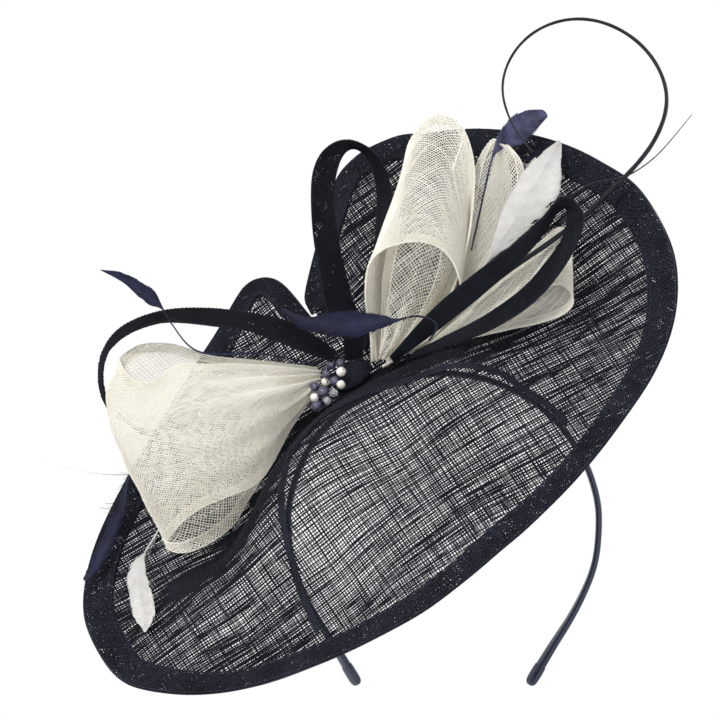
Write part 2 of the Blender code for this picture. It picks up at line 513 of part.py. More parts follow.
def band_pad(stuff):
    """The felt pad stitched between the headband and the underside of the saucer."""
    line = band_line(36)
    sleeve = band_rings(line, SLEEVE_WIDE, SLEEVE_THICK + 2 * CLEAR)
    spots = [k for k, (x, z) in enumerate(line) if PAD_FROM < x < PAD_TO and z > -30]
    rings = []
    for k in spots:
        low_a, low_b = sleeve[k][0], sleeve[k][1]
        rings.append([low_a, low_b, under_saucer(low_b), under_saucer(low_a)])
    return loft("band_pad", rings, stuff)


def under_saucer(point):
    """The spot straight above a band point, just under the saucer, at most PAD_HIGH away."""
    plan = np.array([[(point - SAUCER_CENTRE) @ LONG_AXIS, (point - SAUCER_CENTRE) @ BACK_AXIS]])
    top = on_saucer(plan)[0] - UP_AXIS * (PLY / 2 + CLEAR + 0.3)
    reach = (top - point) @ UP_AXIS
    return point + UP_AXIS * min(max(reach, 0.6), PAD_HIGH)


# ---- trims --------------------------------------------------------------------------------


def from_knot(points):
    return [KNOT + np.array(p, float) for p in points]


def ribbon(name, guides, along, across, thick, stuff):
    return sheet(name, [from_knot(line) for line in guides.values()], along, across, thick, stuff)


def quill(name, points, count, radius, stuff):
    line = spline(from_knot(points), count)
    taper = np.linspace(1.0, 0.42, count)
    return rod(name, line, radius * taper, 5, stuff)


def trims(navy, cream, plume_navy, plume_white, stem):
    ribbon("loop_cream_left", CREAM_LEFT, 26, 6, LOOP_PLY, cream)
    ribbon("loop_cream_roll", CREAM_ROLL, 26, 5, LOOP_PLY, cream)
    ribbon("loop_cream_behind", CREAM_BEHIND, 18, 3, LOOP_PLY, cream)
    ribbon("loop_cream_right", CREAM_RIGHT, 20, 4, LOOP_PLY, cream)
    ribbon("loop_navy_right", NAVY_RIGHT, 22, 3, STRIP_PLY, navy)
    ribbon("loop_navy_tall", NAVY_TALL, 24, 3, STRIP_PLY, navy)
    ribbon("loop_navy_left", NAVY_LEFT, 26, 3, STRIP_PLY, navy)
    for name, guides, stuff in (
            ("feather_white_top", FEATHER_WHITE_TOP, plume_white),
            ("feather_navy_top", FEATHER_NAVY_TOP, plume_navy),
            ("feather_navy_left", FEATHER_NAVY_LEFT, plume_navy),
            ("feather_navy_centre", FEATHER_NAVY_CENTRE, plume_navy),
            ("feather_white_left", FEATHER_WHITE_LEFT, plume_white),
            ("feather_navy_rim", FEATHER_NAVY_RIM, plume_navy)):
        ribbon(name, guides, 14, 3, PLUME_PLY, stuff)
    quill("quill_curled", QUILL_CURLED["mid"], 34, CURLED_RADIUS, stem)
    quill("quill_navy_fine", QUILL_NAVY_FINE["mid"], 12, FINE_RADIUS, stem)
    quill("quill_cream", QUILL_CREAM["mid"], 14, CREAM_RADIUS, plume_white)
    quill("wisp_cream", WISP_CREAM["mid"], 9, WISP_RADIUS, plume_white)


def beads(navy, pearl, crystal):
    for name, x, y, z, radius in BEADS:
        stuff = navy if "navy" in name else pearl if "pearl" in name else crystal
        ball(name, KNOT + np.array([x, y, z]), radius, stuff)


def main():
    clear_scene()
    navy = material("navy_sinamay", (0.02, 0.024, 0.05), 0.7)
    hem = material("navy_bias", (0.016, 0.02, 0.045), 0.75)
    cream = material("cream_sinamay", (0.8, 0.76, 0.64), 0.65)
    satin = material("navy_satin", (0.02, 0.03, 0.07), 0.35)
    core = material("band_core", (0.05, 0.05, 0.055), 0.5)
    felt = material("navy_felt", (0.02, 0.02, 0.04), 0.95)
    plume_navy = material("navy_plume", (0.02, 0.022, 0.07), 0.5)
    plume_white = material("white_plume", (0.82, 0.8, 0.78), 0.55)
    stem = material("dark_quill", (0.02, 0.018, 0.02), 0.3)
    bead = material("navy_bead", (0.07, 0.06, 0.12), 0.4)
    pearl = material("pearl_bead", (0.85, 0.83, 0.78), 0.2)
    crystal = material("clear_crystal", (0.85, 0.87, 0.9), 0.05)
    headband(core, satin)
    band_pad(felt)
    saucer(EDGE_STATIONS, MESH_PITCH, navy)
    hem_binding(EDGE_STATIONS, hem)
    crown_tape(hem)
    trim_base(navy)
    trims(hem, cream, plume_navy, plume_white, stem)
    beads(bead, pearl, crystal)


main()
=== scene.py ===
import math

import bmesh
import bpy
import numpy as np
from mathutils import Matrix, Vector


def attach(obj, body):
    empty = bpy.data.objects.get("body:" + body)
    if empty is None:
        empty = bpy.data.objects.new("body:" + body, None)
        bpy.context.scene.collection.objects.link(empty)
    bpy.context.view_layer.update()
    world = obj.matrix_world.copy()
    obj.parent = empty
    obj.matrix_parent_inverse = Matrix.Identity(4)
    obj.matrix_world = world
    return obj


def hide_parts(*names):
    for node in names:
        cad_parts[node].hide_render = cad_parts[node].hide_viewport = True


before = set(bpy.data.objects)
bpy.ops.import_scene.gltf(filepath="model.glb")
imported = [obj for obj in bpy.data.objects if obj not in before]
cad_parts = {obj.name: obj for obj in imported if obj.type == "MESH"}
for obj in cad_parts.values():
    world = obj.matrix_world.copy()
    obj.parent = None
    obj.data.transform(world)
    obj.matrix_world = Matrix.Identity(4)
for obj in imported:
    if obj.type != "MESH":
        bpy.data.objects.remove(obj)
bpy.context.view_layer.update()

MM = 0.001


# ---- Camera, floor and light ------------------------------------------------------------------
# A studio set for a headpiece held at head height: the camera stands level with it and far off,
# over a plain white floor, in even white light with one soft key from the upper left.

camera = bpy.data.objects.new("camera", bpy.data.cameras.new("camera"))
bpy.context.scene.collection.objects.link(camera)
camera.location = (-0.038, -4.546, 0.0077)
camera.rotation_euler = (math.radians(90), 0, 0)
camera.data.lens = 500
camera.data.sensor_width = 36
camera.data.clip_end = 60
bpy.context.scene.camera = camera


def place(obj):
    """Puts a finished piece in the scene and lets it ride on the headpiece."""
    bpy.context.scene.collection.objects.link(obj)
    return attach(obj, "root")


ROUGH_SPREAD = 0.09  # how far a finish's roughness wanders to either side


def finish(name, dark, light, rough, grain, drift=22, bump=0.0, **sockets):
    """A procedural finish: its colour wanders between two tones, broadly and in the grain."""
    made = bpy.data.materials.new(name)
    made.use_nodes = True
    nodes, links = made.node_tree.nodes, made.node_tree.links
    shader = nodes["Principled BSDF"]
    for socket, value in sockets.items():
        shader.inputs[socket.replace("_", " ")].default_value = value
    where = nodes.new("ShaderNodeTexCoord")
    broad, fine = nodes.new("ShaderNodeTexNoise"), nodes.new("ShaderNodeTexNoise")
    for noise, scale, detail in ((broad, drift, 2), (fine, grain, 5)):
        noise.inputs["Scale"].default_value = scale
        noise.inputs["Detail"].default_value = detail
        links.new(where.outputs["Object"], noise.inputs["Vector"])
    halves = []
    for noise in (broad, fine):
        half = nodes.new("ShaderNodeMath")
        half.operation = "MULTIPLY"
        half.inputs[1].default_value = 0.5
        links.new(noise.outputs["Fac"], half.inputs[0])
        halves.append(half.outputs[0])
    both = nodes.new("ShaderNodeMath")
    for share, socket in zip(halves, both.inputs):
        links.new(share, socket)
    ramp = nodes.new("ShaderNodeValToRGB")
    ramp.color_ramp.elements[0].position = 0.36
    ramp.color_ramp.elements[1].position = 0.64
    ramp.color_ramp.elements[0].color = (*dark, 1)
    ramp.color_ramp.elements[1].color = (*light, 1)
    links.new(both.outputs[0], ramp.inputs["Fac"])
    links.new(ramp.outputs["Color"], shader.inputs["Base Color"])
    spread = nodes.new("ShaderNodeMapRange")
    spread.inputs["To Min"].default_value = max(rough - ROUGH_SPREAD, 0.02)
    spread.inputs["To Max"].default_value = min(rough + ROUGH_SPREAD, 1.0)
    links.new(fine.outputs["Fac"], spread.inputs["Value"])
    links.new(spread.outputs["Result"], shader.inputs["Roughness"])
    if bump:
        raised = nodes.new("ShaderNodeBump")
        raised.inputs["Strength"].default_value = bump
        raised.inputs["Distance"].default_value = 0.2 * MM
        links.new(fine.outputs["Fac"], raised.inputs["Height"])
        links.new(raised.outputs["Normal"], shader.inputs["Normal"])
    return made


FLOOR_RADIUS, FLOOR_LEVEL = 3.4, -0.3
floor_mesh = bpy.data.meshes.new("floor")
turn = np.linspace(0, 2 * np.pi, 64, endpoint=False)
floor_mesh.from_pydata([(FLOOR_RADIUS * math.cos(a), FLOOR_RADIUS * math.sin(a), FLOOR_LEVEL)
                        for a in turn], [], [tuple(range(64))])
floor = bpy.data.objects.new("floor", floor_mesh)
bpy.context.scene.collection.objects.link(floor)
floor_mesh.materials.append(finish("white_floor", (0.88, 0.88, 0.88), (0.9, 0.9, 0.9), 0.9, 40))

world = bpy.data.worlds.new("white_room")
bpy.context.scene.world = world
world.use_nodes = True
world.node_tree.nodes["Background"].inputs["Color"].default_value = (1, 1, 1, 1)
world.node_tree.nodes["Background"].inputs["Strength"].default_value = 1.0
bpy.context.scene.view_settings.view_transform = "Standard"

LAMPS = [  # name, place, side in metres and watts
    ("key", (-1.1, -1.5, 1.5), 0.7, 26), ("rim", (1.3, 0.9, 0.9), 0.6, 12),
    ("front", (0.7, -2.2, 0.1), 1.2, 9)]
for name, at, size, power in LAMPS:
    lamp = bpy.data.objects.new(name, bpy.data.lights.new(name, "AREA"))
    bpy.context.scene.collection.objects.link(lamp)
    lamp.location = at
    lamp.rotation_euler = (-Vector(at)).to_track_quat("-Z", "Y").to_euler()
    lamp.data.size, lamp.data.energy = size, power


# ---- Headband ---------------------------------------------------------------------------------
# A springy plastic bow, hidden inside a sleeve of navy satin ribbon that is glued down along its
# inner side; the ends are folded over and pressed into small rounded caps.

BAND_HALF = [(2, 1.6), (20, -1.3), (40, -10.8), (55, -24.5), (64, -38), (69.7, -55), (70.6, -68),
             (69, -84), (64.3, -97), (57.5, -110), (49.8, -122), (40.7, -137)]
SLEEVE_WIDE, SLEEVE_THICK = 6.6, 3.2
BOW_STATIONS = 64
END_TWIST = math.radians(34)  # how far the band is twisted by the time it reaches its tips
satin = finish("navy_satin", (0.0045, 0.0085, 0.026), (0.009, 0.0155, 0.042), 0.34, 900, 30, 0.25,
               Specular_IOR_Level=0.45, Sheen_Weight=0.15, Sheen_Roughness=0.3)


def spline(points, count):
    """Evenly spaced points along a smooth line through the given ones."""
    p = np.asarray(points, float)
    ring = np.vstack([2 * p[0] - p[1], p, 2 * p[-1] - p[-2]])
    dense = []
    for a, b, c, d in zip(ring, ring[1:], ring[2:], ring[3:]):
        t = np.linspace(0, 1, 24, endpoint=False)[:, None]
        dense.append(0.5 * (2 * b + (c - a) * t + (2 * a - 5 * b + 4 * c - d) * t**2
                            + (3 * b - a - 3 * c + d) * t**3))
    dense = np.vstack(dense + [ring[-2:-1]])
    run = np.concatenate([[0], np.cumsum(np.linalg.norm(np.diff(dense, axis=0), axis=1))])
    at = np.linspace(0, run[-1], count)
    return np.stack([np.interp(at, run, dense[:, k]) for k in range(dense.shape[1])], 1)


def unit(v):
    """Each vector at a length of one."""
    return v / np.maximum(np.linalg.norm(v, axis=-1, keepdims=True), 1e-9)


def skin(name, rings, material, smooth=2):
    """A smooth tube through equal rings of points, in mm, with closed ends."""
    rings = np.asarray(rings, float) * MM
    count, size = rings.shape[:2]
    faces = [(i * size + j, i * size + (j + 1) % size, (i + 1) * size + (j + 1) % size,
              (i + 1) * size + j) for i in range(count - 1) for j in range(size)]
    faces += [tuple(range(size))[::-1], tuple((count - 1) * size + j for j in range(size))]
    mesh = bpy.data.meshes.new(name)
    mesh.from_pydata([tuple(p) for p in rings.reshape(-1, 3)], [], faces)
    body = bmesh.new()
    body.from_mesh(mesh)
    bmesh.ops.recalc_face_normals(body, faces=body.faces[:])
    body.to_mesh(mesh)
    body.free()
    mesh.shade_smooth()
    mesh.materials.append(material)
    made = bpy.data.objects.new(name, mesh)
    finer = made.modifiers.new("smooth", "SUBSURF")
    finer.levels = finer.render_levels = smooth
    return place(made)


half = np.array(BAND_HALF, float)
bow = spline(np.vstack([half[::-1] * [-1, 1], half]), BOW_STATIONS)
bow = (bow + bow[::-1] * [-1, 1]) / 2
bow[:, 1] += SLEEVE_THICK / 2 - bow[BOW_STATIONS // 2, 1]
bow_way = unit(np.gradient(bow, axis=0))
bow_out = np.stack([-bow_way[:, 1], bow_way[:, 0]], 1)


def sleeve_ring(k, size=1.0, reach=0.0):
    """The ribbon's outline round the bow at one station: flat inside, crowned outside."""
    shape = [(-0.5, 0.1), (-0.42, 0.42), (0, 0.5), (0.42, 0.42), (0.5, 0.1), (0.46, -0.4),
             (0.1, -0.5), (0.02, -0.46), (-0.1, -0.5), (-0.46, -0.4)]
    ends = bow_way[k] * reach
    middle = (BOW_STATIONS - 1) / 2
    down_leg = max(0.0, (abs(k - middle) - 20) / 11.5)
    turn = (-1 if k > middle else 1) * END_TWIST * down_leg ** 1.4
    ring = []
    for w, t in shape:
        wide, thick = w * SLEEVE_WIDE * size, t * SLEEVE_THICK * size
        out = thick * math.cos(turn) + wide * math.sin(turn)
        ring.append((bow[k, 0] + bow_out[k, 0] * out + ends[0],
                     wide * math.cos(turn) - thick * math.sin(turn),
                     bow[k, 1] + bow_out[k, 1] * out + ends[1]))
    return ring


sleeve = skin("headband_ribbon", [sleeve_ring(k) for k in range(BOW_STATIONS)], satin)
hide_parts("headband_satin", "headband_core")
# The folded end's outline, as (distance past the tip, size against the sleeve)
CAP_STOPS = [(-7.0, 0.98), (-6.6, 1.1), (-3.0, 1.13), (0.6, 1.12), (2.2, 1.0), (3.2, 0.72),
             (3.7, 0.3)]
for side, tip, way in (("left", 0, -1), ("right", BOW_STATIONS - 1, 1)):
    cap = skin("band_cap_" + side,
               [sleeve_ring(tip, size, way * reach) for reach, size in CAP_STOPS], satin)
    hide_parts("band_tip_" + side)
# The pad of pressed felt between the disc and the band keeps its block's shape, edges rounded
FELT_EDGE = 0.8
felt = finish("navy_felt", (0.008, 0.009, 0.016), (0.016, 0.018, 0.03), 0.95, 1400, 60, 0.6,
              Specular_IOR_Level=0.2)
felt_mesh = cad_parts["band_pad"].data.copy()
felt_mesh.materials.clear()
felt_mesh.materials.append(felt)
block = bmesh.new()
block.from_mesh(felt_mesh)
bmesh.ops.remove_doubles(block, verts=block.verts[:], dist=1e-5)
bmesh.ops.dissolve_limit(block, angle_limit=0.05, verts=block.verts[:], edges=block.edges[:])
block.to_mesh(felt_mesh)
block.free()
felt_pad = place(bpy.data.objects.new("felt_pad", felt_mesh))
rounded = felt_pad.modifiers.new("rounded edges", "BEVEL")
rounded.width, rounded.segments, rounded.limit_method = FELT_EDGE * MM, 3, "ANGLE"
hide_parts("band_pad")


# ---- Saucer -----------------------------------------------------------------------------------
# The disc is two plies of navy sinamay, an open plain weave of abaca thread, with a third in the
# brim only. They are damped, blocked together over a raised crown and stiffened, and a slit is
# left at the back so that two lobes turn up.

SAUCER_CENTRE = np.array([-29.3, -35.2, -24.1])
LONG_AXIS = np.array([0.836, 0.0, 0.549])
BACK_AXIS = np.array([-0.353, 0.766, 0.537])
UP_AXIS = unit(np.cross(LONG_AXIS, BACK_AXIS))
STIFFNESS = 12.0  # how far the surface may pass the stations by, so that it stays smooth
# Stations over the disc as (long, back, up): its cut edge, the brow of the crown, the hollows
EDGE = [(4, 94, 1), (6.5, 105, 4), (22, 122, 9), (36.5, 137, 12), (44.5, 146, 14), (51, 150.5, 15),
        (60, 152.5, 16), (68, 152.5, 16), (82, 148, 16), (93.5, 138, 16), (113.5, 122, 15),
        (129.5, 103.5, 13), (142.5, 81.5, 11), (151, 60, 9), (157.5, 35.5, 6), (156.5, 3.5, 3),
        (150, -22.5, 1), (136.5, -47, -1), (116, -67, -3), (88.5, -82.5, -5), (59, -95, -6.5),
        (27.5, -103.5, -7.5), (0, -108, -8), (-27.5, -110.5, -8), (-54.5, -107, -8),
        (-82, -101, -7), (-109, -92.5, -5), (-132, -78.5, -3), (-150, -59.5, -1), (-157.5, -45, 1),
        (-159, -25, 3), (-156.5, -1, 4), (-147.5, 20, 4), (-132, 40.5, 4.5), (-109, 60.5, 6),
        (-77.5, 82.5, 8), (-47, 102.5, 10), (-22.5, 118.5, 12), (-13.5, 122.5, 12.5),
        (-6.5, 120.5, 12), (-2.5, 115.5, 11), (-0.5, 107.5, 9.5), (0.5, 98.5, 6.5), (1.5, 89, 2.5)]
BROW = [(-135, -37.5, 4), (-105, -34, 8.5), (-71, -21, 15.5), (-52.5, -4.5, 17), (-34, 5, 18),
        (-15, 9.5, 18.5), (7.5, 8, 18.5), (22.5, 4.5, 18), (46.5, 0, 15.5), (59.5, -5, 13),
        (91, -11, 7), (118, -14, 3)]
HOLLOW = [(3.3, 38, -4), (3, 46, -5), (3, 60, -4), (-18, 38, -4.5), (24, 34, -3), (-22.5, 56, -3),
          (-52, 20, -6), (-60, 38, -4), (-70, 2, -5), (-88, -12, -2), (-100, 15, -1),
          (-125, -10, 0.5), (2, -70, 7.5), (3, -35, 14), (-51, -62, 3), (46, -57, 8), (45, 28, -1),
          (66, 22, 1), (90, 14, 2), (59.5, 48, -1), (96, 38, 3), (124, 10, 4), (136, 30, 7),
          (73, 100, 8), (37, 95, 6), (-24, 95, 5), (-65, 70, 4), (-100, -60, -1), (60, -80, -1),
          (-30, -92, -1), (20, -94, -1)]


def bend(a, b):
    """How much a thin plate pinned at b gives at a."""
    gap = np.maximum(np.linalg.norm(a[:, None] - b[None], axis=2), 1e-9)
    return gap**2 * np.log(gap)


stations = np.array(EDGE + BROW + HOLLOW, float)
plan_of, n = stations[:, :2], len(stations)
table = np.zeros((n + 3, n + 3))
table[:n, :n] = bend(plan_of, plan_of) + STIFFNESS * np.eye(n)
table[:n, n], table[n, :n] = 1, 1
table[:n, n + 1:], table[n + 1:, :n] = plan_of, plan_of.T
weights = np.linalg.solve(table, np.concatenate([stations[:, 2], np.zeros(3)]))


def blocked(plan):
    """Points, in mm, on the blocked disc's middle surface."""
    up = bend(plan, plan_of) @ weights[:-3] + weights[-3] + plan @ weights[-2:]
    return (SAUCER_CENTRE + plan[:, :1] * LONG_AXIS + plan[:, 1:] * BACK_AXIS
            + up[:, None] * UP_AXIS)


def disc(plan, lift):
    """Points lifted off the disc along its own normal."""
    long_step, back_step = np.array([0.5, 0]), np.array([0, 0.5])
    normal = unit(np.cross(blocked(plan + long_step) - blocked(plan - long_step),
                           blocked(plan + back_step) - blocked(plan - back_step)))
    return blocked(plan) + normal * np.reshape(lift, (-1, 1))


def crossings(outline, at):
    """Where a level line at this height enters and leaves a closed outline."""
    a, b = outline, np.roll(outline, -1, axis=0)
    cut = (a[:, 1] > at) != (b[:, 1] > at)
    a, b = a[cut], b[cut]
    return np.sort(a[:, 0] + (at - a[:, 1]) * (b[:, 0] - a[:, 0]) / (b[:, 1] - a[:, 1]))


def laid_threads(cloth, outline, angle, lift, pitch, seed, step=4.5, wander=0.35):
    """Runs of thread over a cloth in one direction, each with its own slubs and wander."""
    dice = np.random.default_rng(seed)
    c, s = math.cos(math.radians(angle)), math.sin(math.radians(angle))
    turned = outline @ np.array([[c, -s], [s, c]])
    low, high = turned[:, 1].min(), turned[:, 1].max()
    rows = np.arange(low + pitch / 2, high, pitch)
    # Threads bunch in some places and part in others, and each is a little out of its row
    sway = np.sin(rows / (7.3 * pitch) + dice.uniform(0, 6)) * np.sin(rows / 31)
    rows = rows + 0.2 * wander * pitch * sway + dice.normal(0, 0.14 * wander * pitch, len(rows))
    stout = np.exp(dice.normal(0, 0.07 + 0.19 * wander, len(rows)))
    runs = []
    for row, girth in zip(rows, stout):
        ends = crossings(turned, row)
        for a, b in zip(ends[::2], ends[1::2]):
            if b - a < 2.5:
                continue
            along = np.linspace(a, b, max(int((b - a) / step) + 2, 3))
            phase = dice.uniform(0, 6, 3)
            # Along its run the thread strays to either side, and swells and thins
            drift = np.sin(along / 11 + phase[0]) + np.sin(along / 4.3 + phase[1])
            drift = 0.13 * wander * pitch * drift
            slub = 1 + 0.18 * wander * np.sin(along / 6.1 + phase[2])
            slub = slub + dice.normal(0, 0.05 + 0.12 * wander, len(along))
            flat = np.stack([along, np.full_like(along, row) + drift], 1)
            flat = flat @ np.array([[c, s], [-s, c]])
            runs.append((cloth(flat, lift), girth * np.clip(slub, 0.55, 1.7)))
    return runs


def strands(name, runs, radius, material, sides=0):
    """One piece of many fine strands, each a line of points in mm with its own girth."""
    curve = bpy.data.curves.new(name, "CURVE")
    curve.dimensions = "3D"
    curve.bevel_depth = radius * MM
    curve.bevel_resolution = sides
    curve.use_fill_caps = True
    for points, girth in runs:
        run = curve.splines.new("POLY")
        run.points.add(len(points) - 1)
        spots = np.ones((len(points), 4))
        spots[:, :3] = np.asarray(points) * MM
        run.points.foreach_set("co", spots.ravel())
        run.points.foreach_set("radius", np.broadcast_to(girth, len(points)).astype(float).copy())
        run.use_smooth = True
    curve.materials.append(material)
    return place(bpy.data.objects.new(name, curve))


thread = finish("navy_sinamay", (0.0026, 0.0030, 0.0068), (0.0092, 0.0103, 0.0188), 0.62, 700,
                45, Specular_IOR_Level=0.15)
edge = spline([p[:2] for p in EDGE], 300)
inward = unit(np.gradient(edge, axis=0))[:, ::-1] * [1, -1]
for _ in range(12):
    inward[1:-1] = unit(inward[:-2] + 2 * inward[1:-1] + inward[2:])
SLIT_END = np.array([[3.2, 76.0]])
cut = np.vstack([edge + inward * 1.2, SLIT_END])  # inside the binding's fold
CROWN_LINE = [(-71.6, -88), (-70, -74), (-67, -60), (-60, -41), (-50, -24), (-36, -8), (-17, 1),
              (1, 0), (18, -6), (41, -12), (50, -18), (59, -29), (63, -40), (67, -50), (70, -60),
              (71, -70)]
crown = spline(CROWN_LINE, 90)
brim = np.vstack([edge + inward * 11, SLIT_END])
brim = np.vstack([brim, brim[:1], crown, crown[:1]])  # the brim less the crown
PLIES = [  # number, lift, turn of the weave in degrees, pitch, thread radius, outline, area in m2
    (1, 0.4, 0.0, 1.3, 0.293, cut, 0.074), (2, -0.4, 0.5, 2.1, 0.2, cut, 0.074),
    (3, 0.0, -1.5, 1.5, 0.18, brim, 0.052)]
for ply, lift, turn_by, pitch, girth, outline, area in PLIES:
    runs = (laid_threads(disc, outline, 90 + turn_by, lift + 0.12, pitch, 10 + ply, wander=0.5)
            + laid_threads(disc, outline, turn_by, lift - 0.12, pitch, 20 + ply, wander=0.5))
    weave = strands("saucer_ply_%d" % ply, runs, girth, thread)
    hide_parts("saucer_sinamay")


# ---- Brim binding -----------------------------------------------------------------------------
# A bias strip of the same sinamay, pressed over the disc's cut edge and down both sides of the
# slit with its raw edges turned under, then held by a line of hand running stitches. It is
# narrower at the front and beside the slit.

HEM_DEEP, HEM_HIGH, HEM_BEND = 13.2, 0.95, 1.4  # the fold is round from the edge to HEM_BEND
bias = finish("navy_bias", (0.0052, 0.0058, 0.0112), (0.019, 0.021, 0.035), 0.66, 800, 60,
              Specular_IOR_Level=0.18)
HEM_TURN = np.array([(HEM_DEEP, HEM_HIGH), (HEM_BEND, 1.2), (-0.2, 0.95), (-0.85, 0),
                     (-0.2, -0.95), (HEM_BEND, -1.2), (HEM_DEEP, -HEM_HIGH)])
hem_run = np.concatenate([[0], np.cumsum(np.linalg.norm(np.diff(HEM_TURN, axis=0), axis=1))])
edge_run = np.concatenate([[0], np.cumsum(np.linalg.norm(np.diff(edge, axis=0), axis=1))])


def hem(flat, lift):
    """The strip wrapped over the edge: flat is (along the edge, across the strip)."""
    line = np.stack([np.interp(flat[:, 0], edge_run, edge[:, k]) for k in (0, 1)], 1)
    into = unit(np.stack([np.interp(flat[:, 0], edge_run, inward[:, k]) for k in (0, 1)], 1))
    deep = np.interp(flat[:, 1], hem_run, HEM_TURN[:, 0])
    high = np.interp(flat[:, 1], hem_run, HEM_TURN[:, 1])
    high = high + np.sign(high) * lift
    from_slit = np.minimum(flat[:, 0], edge_run[-1] - flat[:, 0])
    # Both ways that the strip narrows: towards the disc's front, and within 120 mm of the slit
    narrow = (np.interp(line[:, 1], [-95, -35], [0.68, 1.0])
              * np.interp(from_slit, [55, 120], [0.66, 1.0]))
    deep = np.where(deep > HEM_BEND, HEM_BEND + (deep - HEM_BEND) * narrow, deep)
    held = line + into * np.maximum(deep, HEM_BEND)[:, None]
    past = into * np.minimum(deep - HEM_BEND - lift * (deep < 0), 0)[:, None]
    return disc(held, high) + past[:, :1] * LONG_AXIS + past[:, 1:] * BACK_AXIS


def strip(long, wide, start=0.0, low=0.0):
    """A strip's flat outline."""
    return np.array([(start, low), (start + long, low), (start + long, low + wide),
                     (start, low + wide)])


HEM_LONG, HEM_WIDE = edge_run[-1], hem_run[-1]
hem_cut = strip(HEM_LONG, HEM_WIDE)
binding = strands("brim_binding_outer", laid_threads(hem, hem_cut, 46, 0.1, 1.22, 31, 2.6)
                  + laid_threads(hem, hem_cut, -43, -0.1, 1.24, 32, 2.6), 0.235, bias)
turned_under = strands("brim_binding_turned",
                       laid_threads(hem, hem_cut, 40, -0.38, 1.5, 33, 2.8)
                       + laid_threads(hem, hem_cut, -49, -0.3, 1.5, 34, 2.8), 0.205, bias)
along = np.arange(0, HEM_LONG, 2.0)
creases = [(hem(np.stack([along, np.full_like(along, at)], 1), 0.0), 1 + 0.2 * np.sin(along / 9))
           for at in (0.2, hem_run[2], hem_run[3], hem_run[4], HEM_WIDE - 0.2)]
hem_edges = strands("brim_binding_folds", creases, 0.3, bias, 1)
STITCH_LONG, STITCH_STEP, STITCH_ROW = 2.7, 4.6, 1.7  # the row's distance from the strip's edge
stitches = []
for start in np.arange(2, HEM_LONG - 3, STITCH_STEP):
    for row in (STITCH_ROW, HEM_WIDE - STITCH_ROW):
        reach = np.linspace(start, start + STITCH_LONG, 4)
        arch = hem(np.stack([reach, np.full(4, row)], 1), 0.34)
        stitches.append((arch, [0.6, 1, 1, 0.6]))
hem_stitches = strands("brim_stitches", stitches, 0.17, satin, 1)
for piece, slot in ((binding, "navy_bias"), (turned_under, "navy_bias"), (hem_edges, "navy_bias"),
                    (hem_stitches, "navy_satin")):
    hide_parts("brim_binding")


# ---- Crown tape and trim round ----------------------------------------------------------------
# A narrow tape of folded bias is laid on the disc round the front of the crown, and a small
# stiff round of the same cloth behind the brow takes the stitches of all the trims.

# The tape's section, as (distance from the crown line, lift), and its width
TAPE_SECTION = [(-1.7, 0.75), (-1.3, 1.15), (0, 1.35), (1.3, 1.15), (1.7, 0.75), (0, 0.7)]
TAPE_WIDE = 3.6
across = unit(np.gradient(crown, axis=0))[:, ::-1] * [-1, 1]
tape_rings = np.stack([disc(crown + across * off, lift) for off, lift in TAPE_SECTION], 1)
tape = skin("crown_tape", tape_rings, bias, 1)
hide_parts("crown_cord")
crown_run = np.concatenate([[0], np.cumsum(np.linalg.norm(np.diff(crown, axis=0), axis=1))])


def tape_cloth(flat, lift):
    """The weave over the tape's crowned top: flat is (along the tape, from its middle)."""
    line = np.stack([np.interp(flat[:, 0], crown_run, crown[:, k]) for k in (0, 1)], 1)
    side = np.stack([np.interp(flat[:, 0], crown_run, across[:, k]) for k in (0, 1)], 1)
    arch = 1.5 - 0.12 * flat[:, 1] ** 2
    return disc(line + side * flat[:, 1:], arch + lift)


tape_cut = strip(crown_run[-1], TAPE_WIDE, 0, -TAPE_WIDE / 2)
tape_weave = strands("crown_tape_weave", laid_threads(tape_cloth, tape_cut, 44, 0.05, 1.0, 41, 1.2)
                     + laid_threads(tape_cloth, tape_cut, -46, -0.05, 1.0, 42, 1.2), 0.24, bias)
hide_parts("crown_cord")
# The round stands off the disc from ROUND_LOW to ROUND_HIGH
ROUND_AT, ROUND_RADIUS, ROUND_LOW, ROUND_HIGH = np.array([3.3, 46.0]), 10.0, 1.15, 2.35
ROUND_SECTION = [(0.05, ROUND_LOW), (0.5, ROUND_LOW), (1, ROUND_LOW), (1, ROUND_HIGH),
                 (0.5, ROUND_HIGH), (0.05, ROUND_HIGH)]
turn = np.linspace(0, 2 * np.pi, 40, endpoint=False)
circle = np.stack([np.cos(turn), np.sin(turn)], 1)
stiff_round = skin("trim_round", [disc(ROUND_AT + reach * ROUND_RADIUS * circle, np.full(40, lift))
                                  for reach, lift in ROUND_SECTION], bias, 1)
round_cut = ROUND_AT + ROUND_RADIUS * circle
round_weave = strands("trim_round_weave",
                      laid_threads(disc, round_cut, 43, ROUND_HIGH + 0.2, 1.1, 45, 2)
                      + laid_threads(disc, round_cut, -47, ROUND_HIGH + 0.1, 1.1, 46, 2),
                      0.25, bias)
for piece in (stiff_round, round_weave):
    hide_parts("trim_base")


# ---- Cream loops ------------------------------------------------------------------------------
# Wide ribbons of undyed sinamay with their long edges turned in, looped round and gathered to
# the knot behind the brow: one fanned to the left, an upright roll, and two lying behind it.

KNOT = np.array([-45.0, -5.0, 5.0])
cream = finish("cream_sinamay", (0.79, 0.745, 0.62), (0.94, 0.91, 0.81), 0.58, 650, 40,
               Specular_IOR_Level=0.3, Subsurface_Weight=0.4, Subsurface_Scale=0.002,
               Subsurface_Radius=(1.0, 0.95, 0.85))
